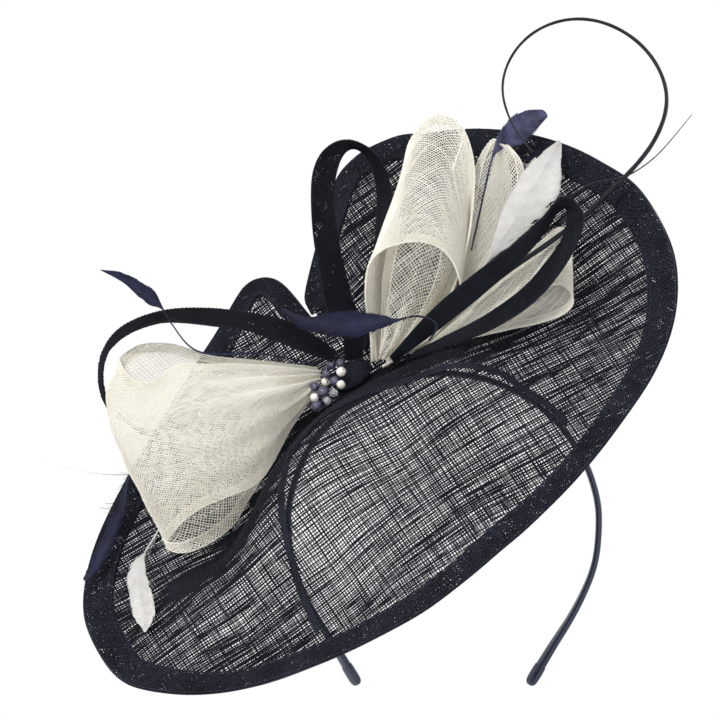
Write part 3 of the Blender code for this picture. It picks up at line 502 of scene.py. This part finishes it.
# Guide lines of each ribbon, in mm from the knot: each runs from its root out and back again
CREAM_LEFT = {
    "upper": [(-11, -4, -2.5), (-37.5, -11, 0), (-63.5, -15, 0.5), (-76.5, -15, 0),
             (-87, -15, -7.5), (-96.5, -11, -6), (-101.5, -3, 1), (-101.5, 7, 4.5),
             (-93.5, 11, 9.5), (-85, 13, 10.5), (-76, 13, 9.5), (-60, 11, 4.5), (-37.5, 7, 2),
             (-12, 2, -1.5)],
    "middle": [(-12, -7, -7.5), (-35, -29, -15.5), (-59, -39, -24.5), (-84, -41, -31.5),
              (-100, -33, -32), (-106, -17, -26.5), (-105, -3, -19), (-93, 1, -21),
              (-70, 0, -24.5), (-43, -1, -20), (-14, 1, -5.5)],
    "lower": [(-12.5, -9, -11), (-24, -10, -27.5), (-37.5, -28, -51), (-51.5, -35, -58.5),
             (-64.5, -38, -64), (-73.5, -39, -71), (-80, -30, -79.5), (-78.5, -31, -83.5),
             (-70, -32.5, -84), (-59, -29, -79), (-49.5, -22.5, -71), (-43.5, -16.5, -61),
             (-33, -10.5, -43.5), (-14.5, -2, -10)],
}
CREAM_ROLL = {
    "mouth": [(12.5, -7, 2), (12, -7, 13.5), (10, -13, 25.5), (9.5, -19, 37), (12, -27, 47.5),
             (20.5, -33, 54), (35, -35, 56), (46.5, -31, 50.5), (52.5, -25, 37.5),
             (50.5, -20, 27.5), (42, -16, 15), (29.5, -14, 6.5), (17.5, -11, -1)],
    "middle": [(14.5, -4, 2.5), (14, 2, 21), (15, 5, 47.5), (19, 7, 67.5), (27, 1, 82),
              (38, -3, 85.5), (49, 3, 80), (56, 7, 64.5), (53.5, 1, 43.5), (45, -9, 24.5),
              (30.5, -10.5, 10), (19.5, -8.5, 2)],
    "back": [(16, -1, 3.5), (18, 3, 25.5), (22.5, 17.5, 57.5), (27, 33, 84.5), (29.5, 41, 102.5),
            (40, 31, 114), (51, 33, 112.5), (57, 25.5, 102), (59, 16.5, 87), (56, -2.5, 57.5),
            (46, -15.5, 28), (31.5, -9.5, 12), (21, -7, 4)],
}
CREAM_BEHIND = {
    "left": [(22.5, 1, 7.5), (43.5, 3.5, 37), (55, 15, 66.5), (60, 27.5, 91), (67, 30.5, 103),
            (69.5, 36, 99), (64.5, 27.5, 80), (55, 18, 57.5), (43.5, 6, 30), (26, 3, 8)],
    "right": [(25, -1.5, 7), (53.5, -5, 32), (73, -1, 59), (81.5, 7.5, 80), (81, 14, 92),
             (75, 25, 100), (73.5, 31.5, 97.5), (76, 20, 80), (69, 10, 59), (52.5, 1, 32),
             (29, 0, 7.5)],
}
CREAM_RIGHT = {
    "lower": [(29, -11, 5.5), (43.5, -22, 8.5), (60.5, -33, 16), (78.5, -37, 27.5),
             (94, -41, 36.5), (100.5, -44, 34.5), (103, -47.5, 28.5), (99, -50, 23.5),
             (89, -49, 19.5), (75, -43, 16.5), (59, -34, 13), (43.5, -17.5, 10.5),
             (31.5, -6, 7.5)],
    "upper": [(30.5, -9, 7.5), (45, -11, 20), (64.5, -15, 35.5), (84.5, -19, 52.5),
             (96, -18.5, 62.5), (101.5, -21.5, 60), (103, -25, 52), (99, -26, 44.5),
             (85, -21.5, 37.5), (64.5, -15.5, 25.5), (46, -13, 13.5), (33.5, -5.5, 9)],
}


ALONG, ACROSS = 120, 25  # stations along and across each ribbon


class Ribbon:
    """A looped ribbon: its smooth surface through guide lines, read in flat millimetres."""

    def __init__(self, guides, pleats=0, depth=0.0, reach=30.0):
        lines = np.stack([spline(np.array(g, float) + KNOT, ALONG) for g in guides.values()], 1)
        grid = np.stack([spline(row, ACROSS) for row in lines])
        steps = np.linalg.norm(np.diff(grid, axis=0), axis=2).mean(axis=1)
        run = np.concatenate([[0], np.cumsum(steps)])
        self.long = run[-1]
        self.wide = np.linalg.norm(np.diff(grid, axis=1), axis=2).sum(axis=1).max()
        if pleats:
            # Deepest at both ends, where the ribbon is gathered, and gone in the open loop
            near = np.exp(-np.minimum(run, run[-1] - run) / reach)
            wave = np.sin(np.linspace(0, 2 * np.pi * pleats, ACROSS)[None] + run[:, None] / 60)
            grid = grid + self.way_out(grid) * (near[:, None] * wave * depth)[..., None]
        self.grid, self.out, self.run = grid, self.way_out(grid), run

    @staticmethod
    def way_out(grid):
        """The surface's normal at each station."""
        return unit(np.cross(np.gradient(grid, axis=0), np.gradient(grid, axis=1)))

    def __call__(self, flat, lift):
        """Points lifted off the ribbon: flat is (along it, across it)."""
        u = np.clip(np.interp(flat[:, 0], self.run, np.arange(ALONG)), 0, ALONG - 1.001)
        v = np.clip(flat[:, 1] / self.wide * (ACROSS - 1), 0, ACROSS - 1.001)
        i, j = u.astype(int), v.astype(int)
        p, q = (u - i)[:, None], (v - j)[:, None]
        spot, out = [(1 - p) * ((1 - q) * g[i, j] + q * g[i, j + 1])
                     + p * ((1 - q) * g[i + 1, j] + q * g[i + 1, j + 1])
                     for g in (self.grid, self.out)]
        return spot + unit(out) * np.reshape(lift, (-1, 1))

    def line(self, across, lift=0.0):
        """A line along the ribbon at one distance across it."""
        flat = np.linspace(0, self.long, 110)
        return self(np.stack([flat, np.full(110, across)], 1), np.full(110, lift))


def cream_loop(name, guides, seed, node="", pleats=0, depth=0.0, grain=41, hem_wide=5.5,
               reach=30.0):
    """One loop: its cloth, its turned edges and the folds along them."""
    ribbon = Ribbon(guides, pleats, depth, reach)
    cut = strip(ribbon.long, ribbon.wide)
    cloth = strands("cream_%s_cloth" % name, laid_threads(ribbon, cut, grain, 0.1, 1.32, seed, 3.4)
                    + laid_threads(ribbon, cut, grain - 88, -0.1, 1.32, seed + 1, 3.4), 0.2, cream)
    extra = []
    for low in (0.0, ribbon.wide - hem_wide):
        turn_in = strip(ribbon.long, hem_wide, 0, low)
        extra += laid_threads(ribbon, turn_in, grain + 5, -0.45, 1.2, seed + 2, 3.0)
        extra += laid_threads(ribbon, turn_in, grain - 84, -0.6, 1.2, seed + 3, 3.0)
    edges = strands("cream_%s_turned_edges" % name, extra, 0.19, cream)
    folds = strands("cream_%s_folds" % name,
                    [(ribbon.line(at, lift), 1.0) for at, lift in
                     ((0.2, -0.2), (ribbon.wide - 0.2, -0.2), (hem_wide, -0.5),
                      (ribbon.wide - hem_wide, -0.5))], 0.28, cream, 1)
    for piece in (cloth, edges, folds):
        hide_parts("loop_cream_" + (node or name))


# The roll's inner fold, which stands in its mouth and runs down to the knot
ROLL_INNER = {
    "left": [(15.5, -4, 3), (16.5, -4, 15), (16.5, -4, 28), (17, -4, 40), (19, -3, 52),
            (21, -2, 66)],
    "middle": [(18, -7, 3), (25, -9, 14), (29, -9, 28), (32, -8, 41), (34, -6, 54), (36, -4, 69)],
    "right": [(20, -6.5, 2), (31, -6, 13), (40, -5, 26), (46, -4, 38), (48, -3, 48), (49, -1, 60)],
}
cream_loop("left", CREAM_LEFT, 50, pleats=5, depth=2.0, reach=55)
cream_loop("roll", CREAM_ROLL, 60, pleats=2, depth=1.0, grain=47)
cream_loop("roll_inner", ROLL_INNER, 65, node="roll", pleats=3, depth=1.6, grain=47, reach=90)
cream_loop("behind", CREAM_BEHIND, 70, grain=38, hem_wide=4)
cream_loop("right", CREAM_RIGHT, 80, pleats=2, depth=0.8, grain=44, hem_wide=5)


# ---- Navy strips ------------------------------------------------------------------------------
# Narrow tubes of navy bias sinamay pressed flat, several plies thick, looped among the cream:
# one doubled back to the right, one standing tall, and one long arc over the left loop.

NAVY_RIGHT = {
    "inner": [(22.5, -13, 2), (43.5, -29.5, 17.5), (63.5, -33.5, 33.5), (81.5, -34, 50),
             (91.5, -31, 62.5), (96, -26, 72.5), (100.5, -33.5, 69.5), (99, -40, 59),
             (91.5, -43, 47.5), (80, -44.5, 34.5), (62.5, -42, 22), (46, -32, 13.5),
             (31.5, -21, 6)],
    "outer": [(20.5, -15, 4), (39, -30, 24.5), (57, -32.5, 40), (76, -36, 54.5), (89, -36, 66.5),
             (99, -35.5, 76.5), (107, -42.5, 69), (105.5, -51, 57.5), (97, -55, 42.5),
             (84.5, -59, 28.5), (66, -60.5, 16.5), (47, -38, 9.5), (30, -25, 3.5)],
}
NAVY_TALL = {
    "front": [(0.5, -8, 2.5), (-1, -9, 15.5), (-7.5, -7, 25), (-11, -3, 41.5), (-14, 3, 59.5),
             (-15, 9, 77.5), (-14, 14, 89), (-10, 19, 97.5), (-3, 25, 102.5), (5, 33, 102.5),
             (13.5, 41, 97.5), (19.5, 45, 87.5), (21.5, 40, 75.5), (20, 25.5, 52.5),
             (15, 14, 25.5), (10, 7, 6.5)],
    "back": [(8, -6, 3.5), (8, -3, 16.5), (3.5, 1, 30), (-1, 7, 47.5), (-4, 13, 64), (-5, 19, 80),
            (-3, 25, 91.5), (0.5, 32, 98), (5, 40, 99.5), (10, 49, 96), (13.5, 53, 87.5),
            (15, 49, 75.5), (13.5, 34.5, 52.5), (10, 22, 25.5), (7, 11, 8.5)],
}
NAVY_LEFT = {
    "upper": [(-4, -7, 6.5), (-15, -7, 14.5), (-27, -5, 20.5), (-44, -1, 24), (-61, 3, 26),
             (-79.5, 5, 25.5), (-94, 7, 21.5), (-104, 8, 15.5), (-110, 10, 6.5), (-112, 13, -4),
             (-110.5, 15, -14), (-105.5, 16, -22), (-97.5, 17, -26.5), (-88.5, 17, -29.5),
             (-73, 17, -28.5), (-52, 15, -25.5), (-34, 12, -20), (-13, 7, -5.5)],
    "lower": [(-5.5, -11, 2), (-21, -15, 7.5), (-42, -13, 15.5), (-57.5, -9, 18), (-78.5, -7, 20),
             (-90, -3, 18), (-100, 1, 13.5), (-107.5, 5, 6.5), (-110, 9, -2.5), (-109.5, 12, -11),
             (-106, 13, -18), (-101.5, 13.5, -23), (-95.5, 13.5, -28), (-88.5, 13.5, -32),
             (-73, 13.5, -32), (-51, 12.5, -28.5), (-33, 10, -22.5), (-13, 5, -7.5)],
}
HALF_THICK = 0.32  # from the middle of a pressed tube to either face
pressed = finish("pressed_bias", (0.0018, 0.0021, 0.0042), (0.0078, 0.0088, 0.0155), 0.66, 800, 60,
                 Specular_IOR_Level=0.15)


def navy_strip(name, guides, seed):
    """A pressed tube: its weave runs up one face, round the fold and down the other."""
    ribbon = Ribbon(guides)

    def both_faces(flat, lift):
        """The tube opened flat: past the ribbon's width it comes back along the other face."""
        far = flat[:, 1] > ribbon.wide
        v = np.where(far, 2 * ribbon.wide - flat[:, 1], flat[:, 1])
        rise = np.where(far, -HALF_THICK - lift, HALF_THICK + lift)
        return ribbon(np.stack([flat[:, 0], v], 1), rise)

    cut = strip(ribbon.long, 2 * ribbon.wide)
    cloth = strands("navy_%s_cloth" % name, laid_threads(both_faces, cut, 44, 0.1, 1.2, seed, 2.6)
                    + laid_threads(both_faces, cut, -46, -0.1, 1.2, seed + 1, 2.6), 0.29, pressed)
    turned_in = strip(ribbon.long, ribbon.wide)
    core = strands("navy_%s_inner" % name,
                   laid_threads(ribbon, turned_in, 40, 0.1, 1.15, seed + 2, 2.6)
                   + laid_threads(ribbon, turned_in, -52, -0.1, 1.15, seed + 3, 2.6), 0.27,
                   pressed)
    folds = strands("navy_%s_folds" % name,
                    [(ribbon.line(at), 1.0) for at in (0.0, ribbon.wide)], 0.42, pressed, 1)
    for piece in (cloth, core, folds):
        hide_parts("loop_navy_" + name)


navy_strip("right", NAVY_RIGHT, 90)
navy_strip("tall", NAVY_TALL, 100)
navy_strip("left", NAVY_LEFT, 110)


# ---- Feathers ---------------------------------------------------------------------------------
# Dyed goose biots and hackles: a stripped shaft with barbs sweeping forward on both sides, wired
# or sewn among the loops. The rim feather is a hackle, softer and hairier than the others.

plume_navy = finish("navy_plume", (0.003, 0.0035, 0.0125), (0.0125, 0.0145, 0.047), 0.5, 240, 40,
                    Specular_IOR_Level=0.22)
plume_pale_navy = finish("navy_plume", (0.016, 0.017, 0.043), (0.07, 0.075, 0.17), 0.5, 240, 40,
                         Specular_IOR_Level=0.35)
plume_white = finish("white_plume", (0.60, 0.585, 0.565), (0.75, 0.735, 0.715), 0.6, 240, 40,
                     Specular_IOR_Level=0.25, Subsurface_Weight=0.3, Subsurface_Scale=0.003,
                     Subsurface_Radius=(1.0, 0.97, 0.95))
stem_dark = finish("dark_quill", (0.004, 0.0038, 0.0065), (0.013, 0.012, 0.018), 0.4, 160, 30,
                   Specular_IOR_Level=0.2)
FEATHER_WHITE_TOP = {
    "left": [(50.5, -18, 25), (54.5, -16.5, 32), (58, -15, 38), (64, -12.5, 47.5),
            (67.5, -11.5, 57.5), (71.5, -5.5, 71.5), (78, -1, 83.5), (84.5, 3, 93),
            (97, 21, 102.5)],
    "shaft": [(51, -17.5, 24.5), (55, -16, 31.5), (58.5, -14.5, 37.5), (64.5, -13, 47.5),
             (70.5, -13, 56.5), (78.5, -10, 68.5), (85.5, -6.5, 80.5), (91.5, -1.5, 91),
             (98, 21, 103)],
    "right": [(51.5, -18, 24), (55, -15, 31), (59, -15, 37.5), (65, -12.5, 47), (74, -14, 53.5),
             (83.5, -15, 62), (92.5, -16.5, 70.5), (98, -14, 80), (99, 21, 100.5)],
}
FEATHER_NAVY_TOP = {
    "left": [(57, -8.5, 52.5), (62.5, 4.5, 77.5), (67, 14.5, 95.5), (69, 29, 102.5),
            (71.5, 29, 108), (74.5, 28, 112.5), (78.5, 27, 115.5), (84.5, 25, 117), (90, 23, 117)],
    "shaft": [(57.5, -8, 52.5), (63, 5, 77.5), (67.5, 15, 95.5), (71, 29, 102), (75, 28, 106),
             (78.5, 27, 109), (82.5, 26, 112.5), (87, 25, 114.5), (92, 23, 115.5)],
    "right": [(58, -7, 52.5), (63.5, 6, 77.5), (68, 14.5, 95), (74.5, 26, 99.5), (79.5, 24, 100.5),
             (83.5, 23, 102.5), (87, 23, 106.5), (90, 23, 110.5), (92.5, 23, 113.5)],
}
FEATHER_NAVY_LEFT = {
    "left": [(-12, -9, 1), (-37.5, -21, 6), (-65.5, -21, 7), (-79, -15, 19.5), (-83, -14, 25),
            (-87.5, -13, 27), (-93, -12, 31), (-100, -11, 37.5), (-110.5, -10, 43.5)],
    "shaft": [(-12, -9, 0.5), (-37.5, -21, 5.5), (-65.5, -21, 6.5), (-78.5, -15, 19.5),
             (-82.5, -14, 26), (-87.5, -13, 29.5), (-92.5, -12, 34), (-100, -11, 39),
             (-110.5, -10, 43.5)],
    "right": [(-12, -9, 0.5), (-37.5, -21, 5), (-65.5, -21, 6), (-78.5, -15, 19), (-82.5, -14, 27),
             (-86, -13, 34), (-91.5, -12, 38), (-101, -11, 42.5), (-110, -10, 43.5)],
}
FEATHER_NAVY_CENTRE = {
    "left": [(37.5, -41, 11.5), (41, -39, 16.5), (40, -37, 19.5), (36.5, -35, 21.5),
            (31.5, -33, 22), (26.5, -31, 21), (16, -28, 16.5), (5.5, -26, 12.5), (-4, -25, 13),
            (-15, -24, 15), (-22, -23, 18), (-28.5, -22, 25.5)],
    "shaft": [(38, -41, 11.5), (41.5, -39, 16.5), (40.5, -37, 20), (36.5, -35, 22),
             (31.5, -33, 22.5), (26.5, -31, 21.5), (16, -29, 19.5), (5.5, -27, 18.5),
             (-4, -26, 18.5), (-15, -25, 20), (-22, -24, 22.5), (-28.5, -22, 26)],
    "right": [(38.5, -41, 11.5), (42, -39, 17), (40.5, -37, 20.5), (36.5, -35, 22.5),
             (31.5, -33, 22.5), (26.5, -31, 22), (17, -28, 23), (7, -26, 25), (-3, -25, 25),
             (-14, -24, 22.5), (-21.5, -23, 23.5), (-28.5, -22, 26.5)],
}
FEATHER_WHITE_LEFT = {
    "left": [(-75, -5, -61), (-82, -10.5, -70), (-86.5, -16, -77.5), (-90, -23, -84),
            (-95, -27.5, -88), (-98.5, -33.5, -94.5), (-97, -41, -102.5), (-95, -54, -112),
            (-90, -65.5, -118)],
    "shaft": [(-74.5, -4.5, -61), (-82, -11.5, -70.5), (-86, -17.5, -77.5), (-90, -23, -84),
             (-92, -30.5, -90.5), (-92.5, -38, -97.5), (-91.5, -47, -105), (-90, -57.5, -112),
             (-89.5, -67, -119)],
    "right": [(-74.5, -4.5, -61), (-81.5, -11.5, -71), (-85.5, -17.5, -78), (-89.5, -24, -84.5),
             (-89.5, -34.5, -92.5), (-87, -43.5, -100), (-85, -55.5, -107.5), (-85, -62.5, -112.5),
             (-88.5, -67.5, -118.5)],
}
FEATHER_NAVY_RIM = {
    "left": [(-88.5, 11, -33.5), (-98.5, 1, -51), (-101.5, -3, -58.5), (-106, -9, -67.5),
            (-110, -15, -77.5), (-114, -21, -85), (-116.5, -25, -92), (-118, -27, -96)],
    "shaft": [(-88, 11, -33.5), (-98, -1, -51.5), (-100, -5.5, -61), (-104, -11, -70),
             (-108, -18.5, -80), (-112, -23, -88), (-115, -27, -93.5), (-117.5, -28, -96.5)],
    "right": [(-87.5, 11, -34), (-98, -3, -52), (-98.5, -6.5, -62.5), (-101, -13.5, -72),
             (-105, -19.5, -82.5), (-110, -25.5, -91), (-114, -29, -95.5), (-117, -29, -97)],
}


def feather(name, guides, vane, stem, seed, sweep=0.11, loose=0.03, hairs=0, rows=230):
    """Barbs along both sides of a shaft, each following the vane to its edge."""
    rng = np.random.default_rng(seed)
    shaft, left, right = [spline(np.array(guides[k], float) + KNOT, rows)
                          for k in ("shaft", "left", "right")]
    pitch = np.linalg.norm(np.diff(shaft, axis=0), axis=1).mean()
    barbs = []
    for rim in (left, right):
        # Here and there a tuft of seven barbs is broken off short
        notch = np.repeat(rng.uniform(0, 1, rows // 7 + 1) ** 8, 7)[:rows] * 0.2
        for i in range(2, rows - 2):
            if np.linalg.norm(rim[i] - shaft[i]) < 0.8:
                continue
            reach = np.linspace(0, 1 - notch[i] - rng.uniform(0, loose), 6)
            at = np.clip(i + sweep * rows * reach ** 0.8, 0, rows - 1.001)
            low, part = at.astype(int), (at % 1)[:, None]
            on_shaft = shaft[low] * (1 - part) + shaft[low + 1] * part
            on_rim = rim[low] * (1 - part) + rim[low + 1] * part
            line = on_shaft * (1 - reach[:, None]) + on_rim * reach[:, None]
            line[:, 1] += rng.uniform(-0.3, 0.3) * reach
            barbs.append((line, [1.25, 1.2, 1.1, 1.0, 0.85, 0.3]))
        # Loose hairs stand out from the lower half of the shaft
        for i in rng.integers(rows // 12, rows // 2, hairs):
            out = unit(rim[i] - shaft[i] + (shaft[i + 9] - shaft[i]) * 0.5)
            hair = np.linspace(0, 1, 6)[:, None] * rng.uniform(3, 8)
            stray = shaft[i] + out * hair + rng.normal(0, 0.035, 3) * hair ** 2
            barbs.append((stray, [0.4, 0.4, 0.35, 0.3, 0.25, 0.15]))
    pieces = [strands(name.replace("feather", "barbs"), barbs, pitch * 0.58, vane)]
    thinning = np.interp(np.linspace(0, 1, rows), [0, 0.3, 1], [1, 0.85, 0.25])
    pieces.append(strands(name.replace("feather", "shaft"), [(shaft, thinning)], 0.42, stem, 1))
    for piece in pieces:
        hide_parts(name)


feather("feather_white_top", FEATHER_WHITE_TOP, plume_white, plume_white, 1)
feather("feather_navy_top", FEATHER_NAVY_TOP, plume_pale_navy, plume_navy, 2, 0.12)
feather("feather_navy_left", FEATHER_NAVY_LEFT, plume_navy, plume_navy, 3, 0.07, rows=320)
feather("feather_navy_centre", FEATHER_NAVY_CENTRE, plume_navy, plume_navy, 4, 0.09, rows=280)
feather("feather_white_left", FEATHER_WHITE_LEFT, plume_white, plume_white, 5, hairs=10)
feather("feather_navy_rim", FEATHER_NAVY_RIM, plume_navy, plume_navy, 6, 0.14, 0.3, hairs=60)


# ---- Quills and wisp --------------------------------------------------------------------------
# Goose quills stripped of their barbs: one heavy dark quill curled into a ring, a fine dark one
# beside it, and pale hair-like ends that show left of the loops and above the roll.

# Each quill's line, in mm from the knot, smoothed once it is evenly spaced
QUILL_CURLED = [(56, -22.5, 28.5), (64.5, -23.5, 35.5), (75, -25.5, 44), (91, -29, 54.5),
                (107.5, -23.5, 67), (116, -18, 75), (126, -10.5, 84.5), (134.5, -5, 93.5),
                (141, 2, 102.5), (146.5, 13, 115.5), (147, 21, 126.5), (143, 28, 137.5),
                (136.5, 33, 146.5), (127.5, 37, 153.5), (117.5, 39, 158), (107, 39.5, 159.5),
                (97, 38, 158), (87.5, 35, 153.8), (79.5, 32, 147), (74, 28, 138),
                (71.5, 24, 129.5), (72, 20, 121.5), (75, 15, 112.5), (79, 11, 105),
                (85.5, 5, 97)]
QUILL_NAVY_FINE = [(62.5, -20.5, 41), (75, -21.5, 52), (89, -23.5, 62.5), (101.5, -17.5, 75.5),
                   (111.5, -15.5, 82.5), (123.5, -19.5, 84.5), (130, -19, 87), (140, -13, 94),
                   (148.5, -8, 103), (157.5, -4, 114)]
QUILL_CREAM = [(-20, 6.5, -15.5), (-37.5, 5, -29), (-52, 4, -36), (-65.5, 4.5, -41.5),
               (-75, 5, -44.5), (-84, 5.5, -47.5), (-93, 7, -48.5), (-99.5, 5, -49.5),
               (-111.5, -2, -49), (-120, 0, -47.5), (-130.5, 2, -44.5), (-141, 3, -38.5),
               (-151, 5, -30.5)]
WISP_CREAM = [(49, -1, 89), (53.5, 19, 102.5), (55, 27, 112), (53.5, 31, 116), (51, 33, 118.5),
              (48, 35, 122.5), (43, 36, 129.5)]
STEMS = [  # node, line, radius at the root, how much of it is left near the tip, finish
    ("quill_curled", QUILL_CURLED, 1.3, 0.42, stem_dark),
    ("quill_navy_fine", QUILL_NAVY_FINE, 0.62, 0.35, stem_dark),
    ("quill_cream", QUILL_CREAM, 0.5, 0.3, plume_white),
    ("wisp_cream", WISP_CREAM, 0.42, 0.3, plume_white)]
STEM_POINTS, SMOOTHING = 160, 24
along = np.linspace(0, 1, STEM_POINTS)
for name, guide, radius, tip, stem in STEMS:
    line = spline(np.array(guide, float) + KNOT, STEM_POINTS)
    for _ in range(SMOOTHING):
        line[1:-1] = (line[:-2] + 2 * line[1:-1] + line[2:]) / 4
    girth = np.interp(along, [0, 0.25, 0.9, 1], [1, 0.9, tip, tip * 0.7])
    girth += 0.02 * np.sin(along * 140)  # faint knuckles where the barbs were
    stripped = strands(name + "_stem", [(line, girth)], radius, stem, 3)
    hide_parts(name)


# ---- Bead cluster -----------------------------------------------------------------------------
# Frosted navy glass beads, small pearls and cut crystals, each drilled and sewn on through its
# hole in a loose bunch over the knot where the loops are gathered.

BEADS = [  # node, then x, y, z from the knot and radius, in mm
    ("bead_navy_1", -6, -9, 0.6, 2.2), ("bead_navy_2", -2, -12.2, 1.2, 1.9),
    ("bead_navy_3", -8.2, -13.2, -3.6, 1.9), ("bead_navy_4", -4.4, -14.6, -6.8, 2.1),
    ("bead_navy_5", -13.4, -12.5, -9.4, 2.1), ("bead_navy_6", -9.6, -16.6, -11.8, 2.6),
    ("bead_navy_7", -12.6, -20, -18.2, 2.4), ("bead_pearl_1", -1.6, -14.8, -2.6, 2.1),
    ("bead_pearl_2", -8.8, -10.6, -7.2, 1.8), ("bead_pearl_3", -1.6, -17.6, -8.4, 1.9),
    ("bead_pearl_4", -13.6, -16.2, -14.2, 1.9), ("crystal_1", -4.8, -19.4, -12.2, 1.7),
    ("crystal_2", -7.8, -21.4, -15.6, 1.7)]
bead_glass = finish("navy_bead", (0.028, 0.026, 0.058), (0.075, 0.068, 0.125), 0.3, 700, 60,
                    Coat_Weight=0.5, Coat_Roughness=0.12)
bead_pearl = finish("pearl_bead", (0.66, 0.63, 0.56), (0.86, 0.84, 0.79), 0.24, 260, 60,
                    Coat_Weight=0.8, Coat_Roughness=0.07)
crystal = finish("clear_crystal", (0.80, 0.82, 0.86), (0.92, 0.93, 0.95), 0.04, 300, 60,
                 Transmission_Weight=0.8, IOR=1.55)
BEAD_SWELL = 1.13  # the section's radius against the bead's
# Half sections, as (out from the hole's middle, along it) against the radius
ROUND = [(0.22, 0.9), (0.5, 0.86), (0.78, 0.62), (0.96, 0.25), (0.96, -0.25), (0.78, -0.62),
         (0.5, -0.86), (0.22, -0.9)]
CUT = [(0.24, 0.86), (0.6, 0.8), (1.0, 0.28), (1.0, -0.28), (0.6, -0.8), (0.24, -0.86)]


def bead(name, centre, radius, profile, sides, axis, stuff):
    """A drilled bead: its section turned round its hole."""
    up = unit(np.array(axis, float))
    side = unit(np.cross(up, [0.3, 1, 0.1]))
    third = np.cross(up, side)
    turned = bmesh.new()
    rings = []
    for k in range(sides):
        a = 2 * np.pi * k / sides
        spoke = side * np.cos(a) + third * np.sin(a)
        rings.append([turned.verts.new((centre + radius * (r * spoke + h * up)) * MM)
                      for r, h in profile])
    for here, after in zip(rings, rings[1:] + rings[:1]):
        for j in range(len(profile)):
            nxt = (j + 1) % len(profile)
            turned.faces.new((here[j], here[nxt], after[nxt], after[j]))
    bmesh.ops.recalc_face_normals(turned, faces=turned.faces[:])
    smooth = stuff is not crystal
    for face in turned.faces:
        face.smooth = smooth
    mesh = bpy.data.meshes.new(name)
    turned.to_mesh(mesh)
    turned.free()
    made = bpy.data.objects.new(name, mesh)
    mesh.materials.append(stuff)
    if smooth:
        rounder = made.modifiers.new("round", "SUBSURF")
        rounder.levels = rounder.render_levels = 2
    return place(made)


threads = []
for k, (node, x, y, z, radius) in enumerate(BEADS):
    centre = KNOT + (x, y, z)
    following = KNOT + BEADS[(k + 1) % len(BEADS)][1:4]
    axis = unit(following - centre + np.array([0, 0, 0.4 * (k % 3 - 1)]))
    stuff = crystal if "crystal" in node else bead_pearl if "pearl" in node else bead_glass
    section, sides = (CUT, 8) if stuff is crystal else (ROUND, 14)
    drilled = bead(node + "_drilled", centre, BEAD_SWELL * radius, section, sides, axis, stuff)
    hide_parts(node)
    ends = centre + np.outer(np.linspace(-1.35, 1.35, 9), axis) * radius
    ends[:, 1] += 1.1 * (np.linspace(-1, 1, 9) ** 4) * radius
    threads.append((ends, 1.0))
sewing = strands("bead_threads", threads, 0.14, satin, 1)
